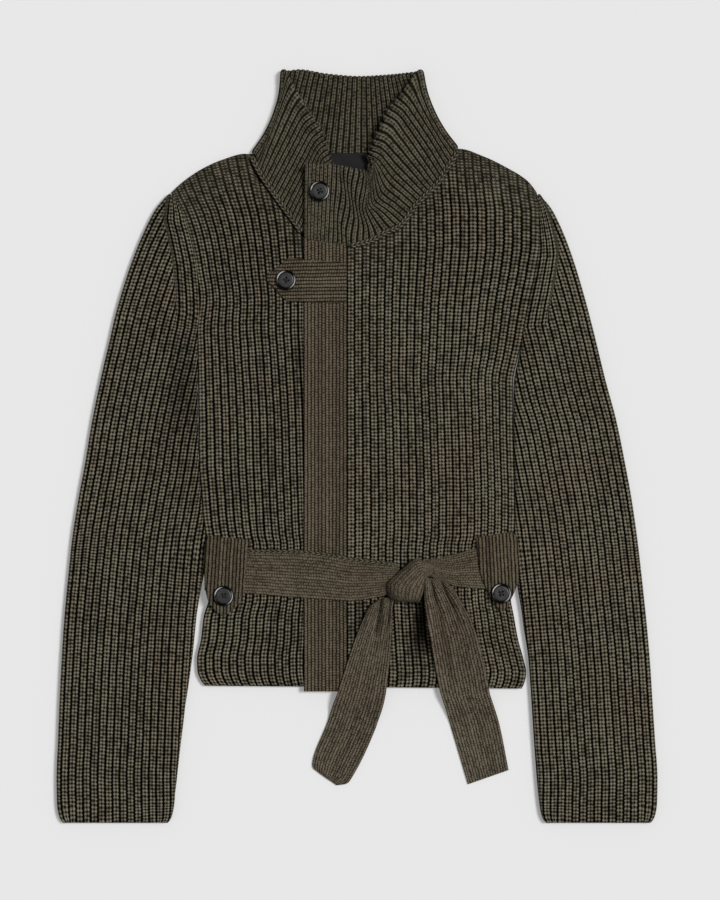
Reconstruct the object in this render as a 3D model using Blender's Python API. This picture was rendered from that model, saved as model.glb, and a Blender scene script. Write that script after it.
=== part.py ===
"""Ribbed cardigan with a stand collar, buttoned tabs and a tied belt, laid flat.

Metres, +Z up from the surface that the garment lies on. +X points to the wearer's left sleeve,
+Y to the collar. The origin is the middle of the bottom of the bounding box.
Every table and size below is in millimetres.
"""
import math

import bmesh
import bpy
import numpy as np
from mathutils import Matrix, Vector

MM = 0.001

# Edges between faces that meet at less than this many degrees are shaded smooth
SMOOTH_ANGLE = 40.0

# Thickness of each knit
RIB_WALL = 3.4
BAND_WALL = 2.2
COLLAR_WALL = 4.5
LABEL_WALL = 1.0

# Clearance at seams and between layers, and of the collar from the neckline that it is sewn to
GAP = 0.3
NECK_SEAM_EASE = 0.6

# The belt runs under the back panel and lifts the body over it: y and lift
BELT_LIFT = ((-168.0, 0.0), (-148.0, 2.5), (-92.0, 2.5), (-72.0, 0.0))

# Armholes, from the underarm up to the shoulder tip: y, x on the right, x on the left
ARMHOLE = (
    (113.0, -157.0, 163.5),
    (143.0, -154.0, 169.0),
    (172.0, -158.0, 175.5),
    (201.0, -163.5, 179.5),
    (226.0, -171.5, 179.5),
    (248.0, -182.5, 176.5),
)

# Side edges of the body below the armholes, hem first: y, x on the right, x on the left
BODY_SIDES = (
    (-237.0, -149.0, 161.5),
    (-231.0, -153.5, 164.5),
    (-222.0, -156.5, 166.0),
    (-210.0, -157.0, 163.5),
    (-190.0, -153.0, 158.0),
    (-168.0, -150.5, 154.0),
    (-148.0, -145.0, 150.5),
    (-119.0, -145.0, 150.0),
    (-92.0, -145.0, 151.0),
    (-72.0, -150.5, 153.0),
    (-50.0, -152.5, 154.0),
    (-15.0, -155.0, 153.5),
    (25.0, -155.5, 153.0),
    (60.0, -156.0, 153.0),
    (95.0, -156.5, 160.0),
)

# The armhole lines run on past the shoulder tips to here, to guide the ribs of the shoulders
ARMHOLE_GUIDE = ((292.0, -201.0, 170.5),)

# The hem hangs a little lower on the wearer's left
HEM_DROP = 1.5
HEM_ZONE = 30.0

# Shoulder edges from the tip in to the neck point: x, y
SHOULDER_RIGHT = ((-182.5, 248.0), (-167.5, 260.0), (-148.0, 272.0), (-127.0, 281.0), (-105.0, 286.5))
SHOULDER_LEFT = ((176.5, 248.0), (167.5, 260.0), (149.0, 272.0), (124.5, 284.0), (101.0, 291.5))

# Front neckline from each neck point to the front edge, and the back neckline: x, y
NECK_RIGHT = ((-98.0, 271.0), (-91.0, 260.0), (-82.0, 247.0), (-73.0, 234.0), (-63.0, 221.0),
              (-53.0, 207.5), (-38.0, 200.0), (-13.3, 196.0))
NECK_LEFT = ((91.0, 277.0), (78.5, 257.0), (69.0, 248.0), (58.0, 237.5), (41.0, 215.0),
             (26.5, 209.0), (14.5, 201.5), (-9.7, 194.3))
NECK_BACK = ((-80.0, 279.0), (-45.0, 273.5), (0.0, 272.0), (45.0, 274.0), (80.0, 281.0))

# The left front climbs to the placket's level over its first columns
FRONT_CLIMB = (2.4, 1.2, 0.4)

# Placket: edges, hem and the ends of its top edge
PLACKET_RIGHT_X, PLACKET_LEFT_X = -52.0, -10.0
PLACKET_HEM_Y = -241.0
PLACKET_TOP_Y = (201.0, 194.2)
# Heights of the placket's rows, besides the hem, its top edge and the rows of the belt's lift
PLACKET_ROWS_BELOW, PLACKET_ROWS_ABOVE = (-200.0,), (-20.0, 60.0, 140.0)

# Sleeve sections from the cuff to the armhole: outer x, outer y, inner x, inner y, and how far the
# section has taken the armhole's curve
SLEEVE_RIGHT = (
    (-287.0, -370.0, -186.5, -370.0, 0.0),
    (-291.5, -365.0, -182.5, -365.0, 0.0),
    (-294.5, -352.0, -179.5, -352.0, 0.0),
    (-295.0, -328.0, -177.0, -328.0, 0.0),
    (-293.5, -288.0, -172.5, -288.0, 0.0),
    (-292.0, -249.0, -167.5, -249.0, 0.0),
    (-290.0, -210.0, -162.0, -210.0, 0.0),
    (-287.5, -171.0, -158.0, -171.0, 0.0),
    (-284.0, -133.0, -154.0, -133.0, 0.0),
    (-279.5, -90.0, -151.0, -92.0, 0.0),
    (-273.5, -52.0, -153.8, -52.0, 0.0),
    (-266.5, -14.0, -156.5, -14.0, 0.0),
    (-260.0, 25.0, -157.2, 22.0, 0.0),
    (-252.0, 64.0, -157.7, 52.0, 0.0),
    (-243.0, 103.0, -158.0, 76.0, 0.05),
    (-233.5, 142.0, -158.2, 90.0, 0.2),
    (-220.5, 182.0, -158.3, 99.0, 0.45),
    (-209.0, 210.0, -158.2, 105.0, 0.7),
    (-197.0, 233.0, -158.0, 109.5, 0.88),
    (-183.3, 248.0, -157.8, 113.0, 1.0),
)
SLEEVE_LEFT = (
    (287.0, -370.0, 186.5, -370.0, 0.0),
    (291.5, -365.0, 182.0, -365.0, 0.0),
    (294.5, -352.0, 179.0, -352.0, 0.0),
    (295.0, -328.0, 176.5, -328.0, 0.0),
    (292.5, -288.0, 173.5, -288.0, 0.0),
    (290.0, -249.0, 171.0, -249.0, 0.0),
    (287.5, -210.0, 168.2, -210.0, 0.0),
    (284.0, -171.0, 162.5, -171.0, 0.0),
    (280.0, -133.0, 159.0, -133.0, 0.0),
    (275.0, -90.0, 156.0, -92.0, 0.0),
    (269.5, -52.0, 155.8, -52.0, 0.0),
    (262.5, -14.0, 155.2, -14.0, 0.0),
    (254.5, 25.0, 154.5, 22.0, 0.0),
    (244.0, 64.0, 155.0, 52.0, 0.0),
    (234.5, 103.0, 158.3, 76.0, 0.05),
    (224.5, 142.0, 161.0, 90.0, 0.2),
    (212.5, 182.0, 162.8, 99.0, 0.45),
    (202.0, 210.0, 163.8, 105.0, 0.7),
    (190.5, 233.0, 164.4, 109.5, 0.88),
    (177.4, 248.0, 164.6, 113.0, 1.0),
)
SLEEVE_HEIGHT = 8.2
SLEEVE_EDGE = ((0.0, 0.0), (1.2, 0.7), (4.2, 1.0))
SLEEVE_SPLIT = (0.25, 0.5, 0.75)
# The sleeve's straight stretches clear the armhole's curve by this many seam gaps
ARMHOLE_EASE = 3.0

# Collar sections, each from its neck seam to its folded top edge. Heights are the middle of the wall.
# seam x, seam y, top x, top y, height at the seam, height at the top
COLLAR_FRONT = (
    (-52.0, 201.5, -51.0, 277.0, 11.0, 14.6),
    (-31.0, 198.6, -27.0, 275.0, 11.0, 14.6),
    (-7.0, 195.6, -5.0, 271.5, 10.4, 13.8),
    (14.5, 201.5, 9.0, 269.0, 8.4, 12.6),
    (26.5, 209.0, 12.0, 270.5, 7.0, 12.0),
    (41.0, 215.0, 13.0, 276.0, 6.4, 11.5),
    (58.0, 237.5, 13.5, 287.0, 6.3, 11.0),
    (69.0, 248.0, 18.0, 303.0, 6.3, 10.8),
    (78.5, 257.0, 29.0, 326.0, 6.6, 10.5),
    (91.0, 277.0, 46.0, 349.0, 7.75, 9.6),
)
COLLAR_FOLD_LEFT = (101.0, 291.5, 64.5, 370.0, 7.75, 7.75)
COLLAR_BACK = (
    (80.0, 281.0, 50.0, 366.5, 2.25, 2.25),
    (45.0, 274.0, 30.0, 364.5, 2.25, 2.25),
    (0.0, 272.0, 2.0, 363.0, 2.25, 2.25),
    (-45.0, 273.5, -30.0, 364.5, 2.25, 2.25),
    (-80.0, 279.0, -56.0, 367.0, 2.25, 2.25),
)
COLLAR_FOLD_RIGHT = (-105.0, 286.5, -74.5, 370.0, 7.75, 7.75)
COLLAR_FLAP = (
    (-98.0, 271.0, -64.5, 357.0, 7.75, 9.4),
    (-91.0, 260.0, -53.0, 337.5, 6.8, 10.5),
    (-82.0, 247.0, -43.0, 321.0, 6.3, 10.5),
    (-73.0, 234.0, -35.0, 307.0, 6.2, 10.3),
    (-63.0, 221.0, -30.5, 292.5, 6.2, 10.1),
    (-53.0, 207.5, -24.0, 277.0, 6.2, 9.8),
    (-38.0, 200.0, -13.0, 270.0, 6.2, 9.2),
)
# How far the side folds bow in between their ends, and the roundness of those folds
FOLD_BOW_LEFT, FOLD_BOW_RIGHT = 6.5, 7.5
FOLD_RADIUS = 2.75
FOLD_STEPS = 4

# Pointed tabs: each row is one edge, the other edge and the height of the underside
# x, y, x, y, height
NECK_TAB = (
    (-10.2, 140.0, -10.2, 179.0, 9.9),
    (-30.0, 140.0, -30.0, 180.5, 9.9),
    (-52.8, 140.5, -52.8, 182.5, 9.9),
    (-58.0, 141.0, -58.0, 183.0, 7.4),
    (-68.0, 141.5, -66.0, 183.5, 7.4),
    (-80.0, 153.5, -79.0, 174.0, 7.4),
    (-88.5, 161.5, -88.5, 168.0, 7.4),
)
BELT_TAB_RIGHT = (
    (-146.0, -88.0, -104.0, -92.5, 9.9),
    (-146.3, -92.0, -104.8, -95.0, 9.9),
    (-146.8, -97.0, -105.6, -98.5, 12.4),
    (-148.0, -119.0, -108.8, -119.0, 12.4),
    (-149.0, -138.0, -112.0, -138.0, 12.4),
    (-141.5, -151.5, -119.0, -151.5, 12.4),
    (-137.0, -158.0, -124.0, -158.0, 12.2),
    (-132.0, -166.0, -128.5, -166.0, 9.9),
)
BELT_TAB_LEFT = (
    (116.0, -90.0, 152.5, -84.5, 9.9),
    (116.8, -94.5, 157.0, -91.0, 9.9),
    (117.5, -99.0, 158.0, -98.0, 12.4),
    (119.5, -119.0, 158.6, -119.0, 12.4),
    (122.5, -135.0, 158.8, -138.0, 12.4),
    (130.0, -150.0, 150.5, -150.0, 12.4),
    (133.5, -156.0, 145.0, -156.0, 12.2),
    (137.0, -165.0, 140.0, -165.0, 9.9),
)

# Belt round the waist, from the knot over the right front, under the back, to the knot again.
# x, lower edge y, upper edge y, height of the middle of the band
BELT_FRONT_RIGHT = (
    (41.0, -142.0, -119.0, 15.0),
    (20.0, -148.5, -114.0, 14.2),
    (-7.0, -152.0, -109.5, 13.6),
    (-30.0, -150.5, -105.0, 13.6),
    (-53.5, -149.0, -102.5, 13.6),
    (-62.0, -148.5, -102.2, 11.1),
    (-104.0, -145.0, -101.5, 11.1),
    (-138.0, -143.0, -99.5, 11.1),
)
BELT_BACK = (
    (-120.0, -142.0, -98.0, 1.1),
    (0.0, -142.0, -98.0, 1.1),
    (120.0, -142.0, -98.0, 1.1),
)
BELT_FRONT_LEFT = (
    (145.0, -141.0, -99.0, 11.1),
    (118.0, -140.0, -100.5, 11.1),
    (97.0, -138.0, -106.0, 11.1),
    (80.0, -131.0, -110.0, 12.4),
    (67.0, -127.0, -112.0, 14.0),
)
# Where the belt turns round the side edges of the body: x, lower edge y, upper edge y
BELT_SIDE_RIGHT = (-145.0, -142.5, -99.0)
BELT_SIDE_LEFT = (151.0, -141.5, -98.5)
# The belt's turn round a side edge: distance out from the edge, height of the middle, tilt in degrees
BELT_TURN = (
    (-0.1, 11.1, 0.0),
    (2.4, 10.4, 40.0),
    (3.4, 8.0, 90.0),
    (3.4, 4.2, 90.0),
    (2.5, 1.9, 140.0),
    (-0.1, 1.1, 180.0),
)

# Belt ends: one edge, the other edge and the height of the underside
# x, y, x, y, height
BELT_TAIL_RIGHT = (
    (22.0, -151.5, 37.0, -146.0, 13.5),
    (12.0, -158.0, 35.0, -159.0, 12.6),
    (6.0, -170.0, 34.5, -173.0, 11.0),
    (-5.0, -198.0, 32.5, -205.0, 9.9),
    (-19.0, -241.5, 28.5, -241.5, 9.9),
    (-23.0, -252.0, 25.5, -256.0, 7.0),
    (-26.5, -263.0, 21.0, -270.0, 1.5),
    (-28.5, -270.0, 17.5, -280.0, 0.0),
    (-44.0, -314.0, -6.0, -328.0, 0.0),
    (-43.5, -316.5, -10.0, -332.5, 0.0),
    (-30.0, -327.0, -20.0, -334.0, 0.0),
)
BELT_TAIL_LEFT = (
    (67.0, -129.0, 79.0, -129.5, 15.5),
    (67.0, -147.0, 90.0, -137.0, 14.4),
    (67.5, -158.0, 101.0, -152.0, 12.5),
    (70.5, -183.0, 115.5, -180.0, 9.9),
    (79.5, -233.0, 128.5, -233.0, 7.4),
    (81.5, -242.0, 130.0, -242.0, 7.4),
    (86.0, -256.0, 134.5, -256.0, 4.0),
    (91.5, -274.0, 139.5, -272.0, 0.0),
    (109.0, -333.0, 149.0, -319.0, 0.0),
)

# Knot: the radius of its outline by direction from its middle, anticlockwise from +X
KNOT_CENTRE = (47.5, -131.5, 23.4)
KNOT_HEIGHT = 14.0
# Powers that square off a ball's plan and its height; 1 leaves them round
KNOT_PLAN_POWER, KNOT_HEIGHT_POWER = 0.7, 0.8
KNOT_OUTLINE = (
    (0.0, 21.5), (35.0, 23.0), (65.0, 23.5), (95.0, 21.0), (125.0, 18.5), (160.0, 17.5),
    (195.0, 21.0), (220.0, 24.0), (250.0, 23.5), (280.0, 24.5), (305.0, 27.0), (335.0, 22.5),
    (360.0, 21.5),
)

# Buttons: radius and height of the turned profile, and the four holes
BUTTON_PROFILE = ((0.0, 0.0), (7.5, 0.0), (9.6, 0.9), (10.0, 1.9), (9.2, 3.0), (8.0, 2.7), (7.2, 1.9),
                  (0.0, 1.7))
BUTTON_SIDES = 28
HOLE_RADIUS, HOLE_OFFSET, HOLE_SIDES = 0.95, 1.75, 8
HOLE_CUTTER_LENGTH = 10.0

# Each button: node, x, y, underside z, tilt about X and turn about Z in degrees
BUTTONS = (
    ("button_collar", -36.5, 248.5, 16.0, 2.7, 20.0),
    ("button_neck_tab", -69.5, 162.0, 9.9, 0.0, 35.0),
    ("button_belt_tab_right", -130.3, -147.0, 14.9, 0.0, 0.0),
    ("button_belt_tab_left", 141.0, -144.5, 14.9, 0.0, 10.0),
)

# Neck label: corners on the back of the collar
LABEL_X, LABEL_Y, LABEL_Z = (-29.0, 11.0), (273.5, 287.0), 4.8

# Colours in linear light, roughness and metallic value of each material
MATERIALS = {
    "rib_knit": ((0.045, 0.040, 0.026), 0.95, 0.0),
    "fine_rib": ((0.062, 0.052, 0.036), 0.92, 0.0),
    "button_horn": ((0.030, 0.030, 0.029), 0.25, 0.0),
    "label_cloth": ((0.006, 0.006, 0.007), 0.7, 0.0),
}


def column(table, index):
    """Return one column of a table as an array."""
    return np.array([row[index] for row in table], dtype=float)


def lift_at(y):
    """Height by which the belt under the back raises the body at y."""
    return float(np.interp(y, column(BELT_LIFT, 0), column(BELT_LIFT, 1)))


def side_at(y, side):
    """X of the body's edge at y; side 1 is the wearer's right, 2 the left."""
    table = BODY_SIDES + ARMHOLE + ARMHOLE_GUIDE
    return float(np.interp(y, column(table, 0), column(table, side)))


def make_material(name):
    """Make a Principled material from its row in MATERIALS."""
    colour, roughness, metallic = MATERIALS[name]
    material = bpy.data.materials.new(name)
    material.use_nodes = True
    shader = material.node_tree.nodes["Principled BSDF"]
    shader.inputs["Base Color"].default_value = (*colour, 1.0)
    shader.inputs["Roughness"].default_value = roughness
    shader.inputs["Metallic"].default_value = metallic
    material.diffuse_color = (*colour, 1.0)
    return material


def add_object(name, bm, material):
    """Turn a bmesh into a scene object that is shaded smooth over gentle angles."""
    bmesh.ops.recalc_face_normals(bm, faces=bm.faces)
    bmesh.ops.triangulate(bm, faces=bm.faces)
    mesh = bpy.data.meshes.new(name)
    bm.to_mesh(mesh)
    bm.free()
    mesh.materials.append(material)
    mesh.shade_smooth()
    mesh.set_sharp_from_angle(angle=math.radians(SMOOTH_ANGLE))
    obj = bpy.data.objects.new(name, mesh)
    bpy.context.scene.collection.objects.link(obj)
    return obj


def slab(name, under, over, material):
    """Make a closed cloth wall from two equal grids of points, its two faces.

    A bmesh grid takes the points of the first face, is extruded, and takes those of the second.
    """
    rows, columns = len(under), len(under[0])
    bm = bmesh.new()
    bmesh.ops.create_grid(bm, x_segments=columns - 1, y_segments=rows - 1, size=0.5)

    def station(vert):
        return round((vert.co.y + 0.5) * (rows - 1)), round((vert.co.x + 0.5) * (columns - 1))

    lower = {vert: station(vert) for vert in bm.verts}
    grown = bmesh.ops.extrude_face_region(bm, geom=bm.faces[:])
    upper = {item: station(item) for item in grown["geom"] if isinstance(item, bmesh.types.BMVert)}
    for vert, (row, col) in lower.items():
        vert.co = Vector(under[row][col]) * MM
    for vert, (row, col) in upper.items():
        vert.co = Vector(over[row][col]) * MM
    return add_object(name, bm, material)


def tube(name, rings, material):
    """Join closed rings of equal counts in order, and the last to the first, as one tube wall."""
    bm = bmesh.new()
    loops = [[bm.verts.new(Vector(point) * MM) for point in ring] for ring in rings]
    for ring, after in zip(loops, loops[1:] + loops[:1]):
        for i in range(len(ring)):
            j = (i + 1) % len(ring)
            bm.faces.new((ring[i], ring[j], after[j], after[i]))
    return add_object(name, bm, material)


def panel(name, rows, stations, edges, top_edge, underside, material):
    """Make a body panel: rows at the heights of the side tables, columns that end on top_edge.

    edges(y) gives the panel's two side edges, and underside(y, column) the height of its lower
    face. Below the armholes the rows are level; above, they spread to reach the top edge.
    """
    under, over = [], []
    split_y, tip_y = ARMHOLE[1][0], ARMHOLE[-1][0]
    for y_row in rows:
        low_row = []
        for k, (share, y_top) in enumerate(zip(stations, top_edge)):
            y = y_row
            if y_row > split_y:
                y = split_y + (y_row - split_y) / (tip_y - split_y) * (y_top - split_y)
            start, end = edges(y)
            x = start + (end - start) * share
            fade = max(0.0, 1.0 - (y_row - BODY_SIDES[0][0]) / HEM_ZONE)
            y -= HEM_DROP * fade * x / BODY_SIDES[0][2]
            low_row.append((x, y, underside(y_row, k)))
        under.append(low_row)
        over.append([(x, y, z + RIB_WALL) for x, y, z in low_row])
    return slab(name, under, over, material)


def column_shares(top_points, edges):
    """Share of the panel's width at which each column must stand to end on its top point."""
    shares = []
    for x, y in top_points:
        start, end = edges(y)
        shares.append(min(1.0, max(0.0, (x - start) / (end - start))))
    return shares


def body_rows():
    """Heights of the rows of the body panels, from the hem to the shoulder tips."""
    return list(column(BODY_SIDES, 0)) + list(column(ARMHOLE, 0))


def build_back(material):
    """Back panel, flat on the surface and lifted where the belt runs under it."""
    points = SHOULDER_RIGHT + NECK_BACK + SHOULDER_LEFT[::-1]

    def edges(y):
        return side_at(y, 1), side_at(y, 2)

    shares = column_shares(points, edges)
    return panel("back", body_rows(), shares, edges, [y for _, y in points],
                 lambda y, k: lift_at(y), material)


def build_front_right(material):
    """Front on the wearer's right: its edge runs on beneath the placket."""
    points = SHOULDER_RIGHT + NECK_RIGHT

    def edges(y):
        return side_at(y, 1), NECK_RIGHT[-1][0]

    shares = column_shares(points, edges)
    return panel("front_right", body_rows(), shares, edges, [y for _, y in points],
                 lambda y, k: lift_at(y) + RIB_WALL + GAP, material)


def build_front_left(material):
    """Front on the wearer's left: its edge climbs to the placket and meets it edge to edge."""
    points = (SHOULDER_LEFT + NECK_LEFT)[::-1]
    climb = FRONT_CLIMB + (0.0,) * (len(points) - len(FRONT_CLIMB))

    def edges(y):
        return NECK_LEFT[-1][0], side_at(y, 2)

    shares = column_shares(points, edges)
    return panel("front_left", body_rows(), shares, edges, [y for _, y in points],
                 lambda y, k: lift_at(y) + RIB_WALL + GAP + climb[k], material)


def build_placket(material):
    """Placket: a straight fine-rib band over the right front, from the hem to the collar."""
    stations = [PLACKET_HEM_Y, *PLACKET_ROWS_BELOW, *column(BELT_LIFT, 0), *PLACKET_ROWS_ABOVE]
    under = []
    for y in stations + [None]:
        row = []
        for x, y_top in zip((PLACKET_RIGHT_X, PLACKET_LEFT_X), PLACKET_TOP_Y):
            y_here = y_top if y is None else y
            row.append((x, y_here, lift_at(y_here) + 2.0 * (RIB_WALL + GAP)))
        under.append(row)
    over = [[(x, y, z + BAND_WALL) for x, y, z in row] for row in under]
    return slab("placket", under, over, material)


def strip(name, rows, wall, material, columns=2):
    """Make a band whose rows each run from one edge to the other, lying on a stated height."""
    under = []
    for x0, y0, x1, y1, z in rows:
        steps = [i / columns for i in range(columns + 1)]
        under.append([(x0 + (x1 - x0) * t, y0 + (y1 - y0) * t, z) for t in steps])
    over = [[(x, y, z + wall) for x, y, z in row] for row in under]
    return slab(name, under, over, material)


def sleeve_ring(outer, inner, curve, inset, low, high):
    """Closed ring of a flattened sleeve section, its rounded edges set in by inset.

    curve(t) is the sideways offset of the section's line at share t of its width.
    """
    outer, inner = Vector(outer), Vector(inner)
    width = (inner - outer).length
    middle, half = (low + high) / 2.0, (high - low) / 2.0
    scale = (high - low) / SLEEVE_HEIGHT
    edge = [(inset + d * scale, f) for d, f in SLEEVE_EDGE]
    stations = [(d / width, f) for d, f in edge]
    stations += [(t, 1.0) for t in SLEEVE_SPLIT]
    stations += [(1.0 - d / width, f) for d, f in reversed(edge)]

    def at(t, z):
        x, y = outer.lerp(inner, t) + curve(t)
        return x, y, z

    top = [at(t, middle + half * f) for t, f in stations]
    bottom = [at(t, middle - half * f) for t, f in stations[1:-1]]
    return top + bottom[::-1]


def build_sleeve(name, rows, side, material):
    """Sleeve: a flattened rib tube from the cuff to the armhole, open at both ends."""
    heights = column(ARMHOLE, 0)[::-1]
    xs = column(ARMHOLE, side)[::-1]
    shares = (heights[0] - heights) / (heights[0] - heights[-1])
    chord = xs[0] + (xs[-1] - xs[0]) * shares
    outward = -GAP if side == 1 else GAP

    def ring(row, inset, low, high):
        x0, y0, x1, y1, share = row

        def curve(t):
            offset = np.interp(t, shares, xs - chord + ARMHOLE_EASE * outward * np.sin(np.pi * shares))
            return Vector((float(offset) * share, 0.0))

        return sleeve_ring((x0, y0), (x1, y1), curve, inset, low, high)

    outside = [ring(row, 0.0, 0.0, SLEEVE_HEIGHT) for row in rows]
    inside = [ring(row, RIB_WALL, RIB_WALL, SLEEVE_HEIGHT - RIB_WALL) for row in rows]
    return tube(name, outside + inside[::-1], material)


def facing_wall(middles, tilts, wall):
    """Offset rows of mid-wall points to both faces of a wall.

    Each row's tilt turns its facing from straight up towards the right of the row's direction.
    """
    under, over = [], []
    for row, tilt in zip(middles, tilts):
        along = Vector(row[-1][:2]) - Vector(row[0][:2])
        along.normalize()
        right = Vector((along.y, -along.x, 0.0))
        facing = right * math.sin(tilt) + Vector((0.0, 0.0, math.cos(tilt)))
        under.append([Vector(p) - facing * wall / 2.0 for p in row])
        over.append([Vector(p) + facing * wall / 2.0 for p in row])
    return under, over


def collar_row(section, shift=0.0, bow=0.0, columns=4):
    """Mid-wall points of one collar section, bowed and shifted sideways in the plane."""
    x0, y0, x1, y1, z0, z1 = section
    along = Vector((x1 - x0, y1 - y0))
    length = along.length
    along.normalize()
    right = Vector((along.y, -along.x))
    points = []
    for i in range(columns + 1):
        t = (NECK_SEAM_EASE + (length - NECK_SEAM_EASE) * i / columns) / length
        sideways = shift + bow * 4.0 * t * (1.0 - t)
        x = x0 + along.x * length * t + right.x * sideways
        y = y0 + along.y * length * t + right.y * sideways
        points.append((x, y, z0 + (z1 - z0) * t))
    return points


def collar_fold(section, outward, bow):
    """Rows round one side fold of the collar, from the upper layer to the lower one."""
    rows = []
    reach = FOLD_RADIUS + COLLAR_WALL / 2.0
    centre_z = COLLAR_WALL / 2.0 + FOLD_RADIUS
    for step in range(FOLD_STEPS + 1):
        angle = math.pi * step / FOLD_STEPS
        shift = outward * (FOLD_RADIUS * math.sin(angle) - reach)
        height = centre_z + FOLD_RADIUS * math.cos(angle)
        level = section[:4] + (height, height)
        rows.append(collar_row(level, shift, -outward * bow))
    return rows


def build_collar(material):
    """Stand collar: one ribbon from its left end over the front, round the back, to its right end."""
    turn = [math.pi * step / FOLD_STEPS for step in range(FOLD_STEPS + 1)]
    fold_left = collar_fold(COLLAR_FOLD_LEFT, 1.0, FOLD_BOW_LEFT)
    fold_right = collar_fold(COLLAR_FOLD_RIGHT, -1.0, FOLD_BOW_RIGHT)[::-1]
    middles = [collar_row(section) for section in COLLAR_FRONT]
    tilts = [0.0] * len(middles)
    middles += fold_left
    tilts += turn
    middles += [collar_row(section) for section in COLLAR_BACK]
    tilts += [math.pi] * len(COLLAR_BACK)
    middles += fold_right
    tilts += [math.pi + angle for angle in turn]
    middles += [collar_row(section) for section in COLLAR_FLAP]
    tilts += [2.0 * math.pi] * len(COLLAR_FLAP)
    under, over = facing_wall(middles, tilts, COLLAR_WALL)
    return slab("collar", under, over, material)


def belt_turn(side, outward):
    """Rows of the belt round one side edge of the body, from the front to the back."""
    x_edge, y_low, y_high = side
    rows = []
    for out, z, _ in BELT_TURN:
        x = x_edge + outward * out
        rows.append([(x, y_low, z), (x, (y_low + y_high) / 2.0, z), (x, y_high, z)])
    return rows


def build_belt_band(material):
    """Belt round the waist: over the right front, under the back and back over the left front."""
    def flat(table):
        return [[(x, lo, z), (x, (lo + hi) / 2.0, z), (x, hi, z)] for x, lo, hi, z in table]

    turn = [math.radians(tilt) for _, _, tilt in BELT_TURN]
    middles = flat(BELT_FRONT_RIGHT)
    tilts = [0.0] * len(BELT_FRONT_RIGHT)
    middles += belt_turn(BELT_SIDE_RIGHT, -1.0)
    tilts += [-angle for angle in turn]
    middles += flat(BELT_BACK)
    tilts += [-math.pi] * len(BELT_BACK)
    middles += belt_turn(BELT_SIDE_LEFT, 1.0)[::-1]
    tilts += [-2.0 * math.pi + angle for angle in turn[::-1]]
    middles += flat(BELT_FRONT_LEFT)
    tilts += [-2.0 * math.pi] * len(BELT_FRONT_LEFT)
    under, over = facing_wall(middles, tilts, BAND_WALL)
    return slab("belt_band", under, over, material)


def build_knot(material):
    """Knot of the belt: a rounded lump with the outline of the wrapped band."""
    bm = bmesh.new()
    bmesh.ops.create_icosphere(bm, subdivisions=3, radius=1.0)
    angles, radii = column(KNOT_OUTLINE, 0), column(KNOT_OUTLINE, 1)
    x_mid, y_mid, z_mid = KNOT_CENTRE
    for vert in bm.verts:
        angle = math.degrees(math.atan2(vert.co.y, vert.co.x)) % 360.0
        spread = math.hypot(vert.co.x, vert.co.y) ** KNOT_PLAN_POWER
        reach = float(np.interp(angle, angles, radii)) * spread
        x = x_mid + reach * math.cos(math.radians(angle))
        y = y_mid + reach * math.sin(math.radians(angle))
        rise = math.copysign(abs(vert.co.z) ** KNOT_HEIGHT_POWER, vert.co.z)
        z = z_mid + KNOT_HEIGHT / 2.0 * rise
        vert.co = Vector((x, y, z)) * MM
    return add_object("belt_knot", bm, material)


def button_mesh(material):
    """Turned button with a raised rim and four holes, its underside on z = 0."""
    bm = bmesh.new()
    profile = [bm.verts.new((radius * MM, 0.0, height * MM)) for radius, height in BUTTON_PROFILE]
    edges = [bm.edges.new(pair) for pair in zip(profile, profile[1:])]
    bmesh.ops.spin(bm, geom=profile + edges, cent=(0.0, 0.0, 0.0), axis=(0.0, 0.0, 1.0),
                   angle=math.tau, steps=BUTTON_SIDES, use_merge=True)
    bmesh.ops.remove_doubles(bm, verts=bm.verts, dist=0.00001)
    blank = add_object("button_blank", bm, material)

    bm = bmesh.new()
    for turn in range(4):
        angle = math.pi / 4.0 + math.pi / 2.0 * turn
        place = Matrix.Translation(Vector((math.cos(angle), math.sin(angle), 0.0)) * HOLE_OFFSET * MM)
        bmesh.ops.create_cone(bm, cap_ends=True, segments=HOLE_SIDES, radius1=HOLE_RADIUS * MM,
                              radius2=HOLE_RADIUS * MM, depth=HOLE_CUTTER_LENGTH * MM, matrix=place)
    cutter = add_object("button_cutter", bm, material)
    holes = blank.modifiers.new("holes", "BOOLEAN")
    holes.operation = "DIFFERENCE"
    holes.object = cutter
    bpy.context.view_layer.update()
    graph = bpy.context.evaluated_depsgraph_get()
    mesh = bpy.data.meshes.new_from_object(blank.evaluated_get(graph), depsgraph=graph)
    bpy.data.objects.remove(blank, do_unlink=True)
    bpy.data.objects.remove(cutter, do_unlink=True)
    return mesh


def build_buttons(material):
    """Place the buttons on the collar and the tabs."""
    mesh = button_mesh(material)
    for name, x, y, z, tilt, turn in BUTTONS:
        button = bpy.data.objects.new(name, mesh)
        button.location = Vector((x, y, z)) * MM
        button.rotation_euler = (math.radians(tilt), 0.0, math.radians(turn))
        bpy.context.scene.collection.objects.link(button)


def build_label(material):
    """Blank woven label on the inner face of the collar's back."""
    low, high = LABEL_Z, LABEL_Z + LABEL_WALL
    under = [[(x, y, low) for x in LABEL_X] for y in LABEL_Y]
    over = [[(x, y, high) for x in LABEL_X] for y in LABEL_Y]
    return slab("neck_label", under, over, material)


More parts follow.
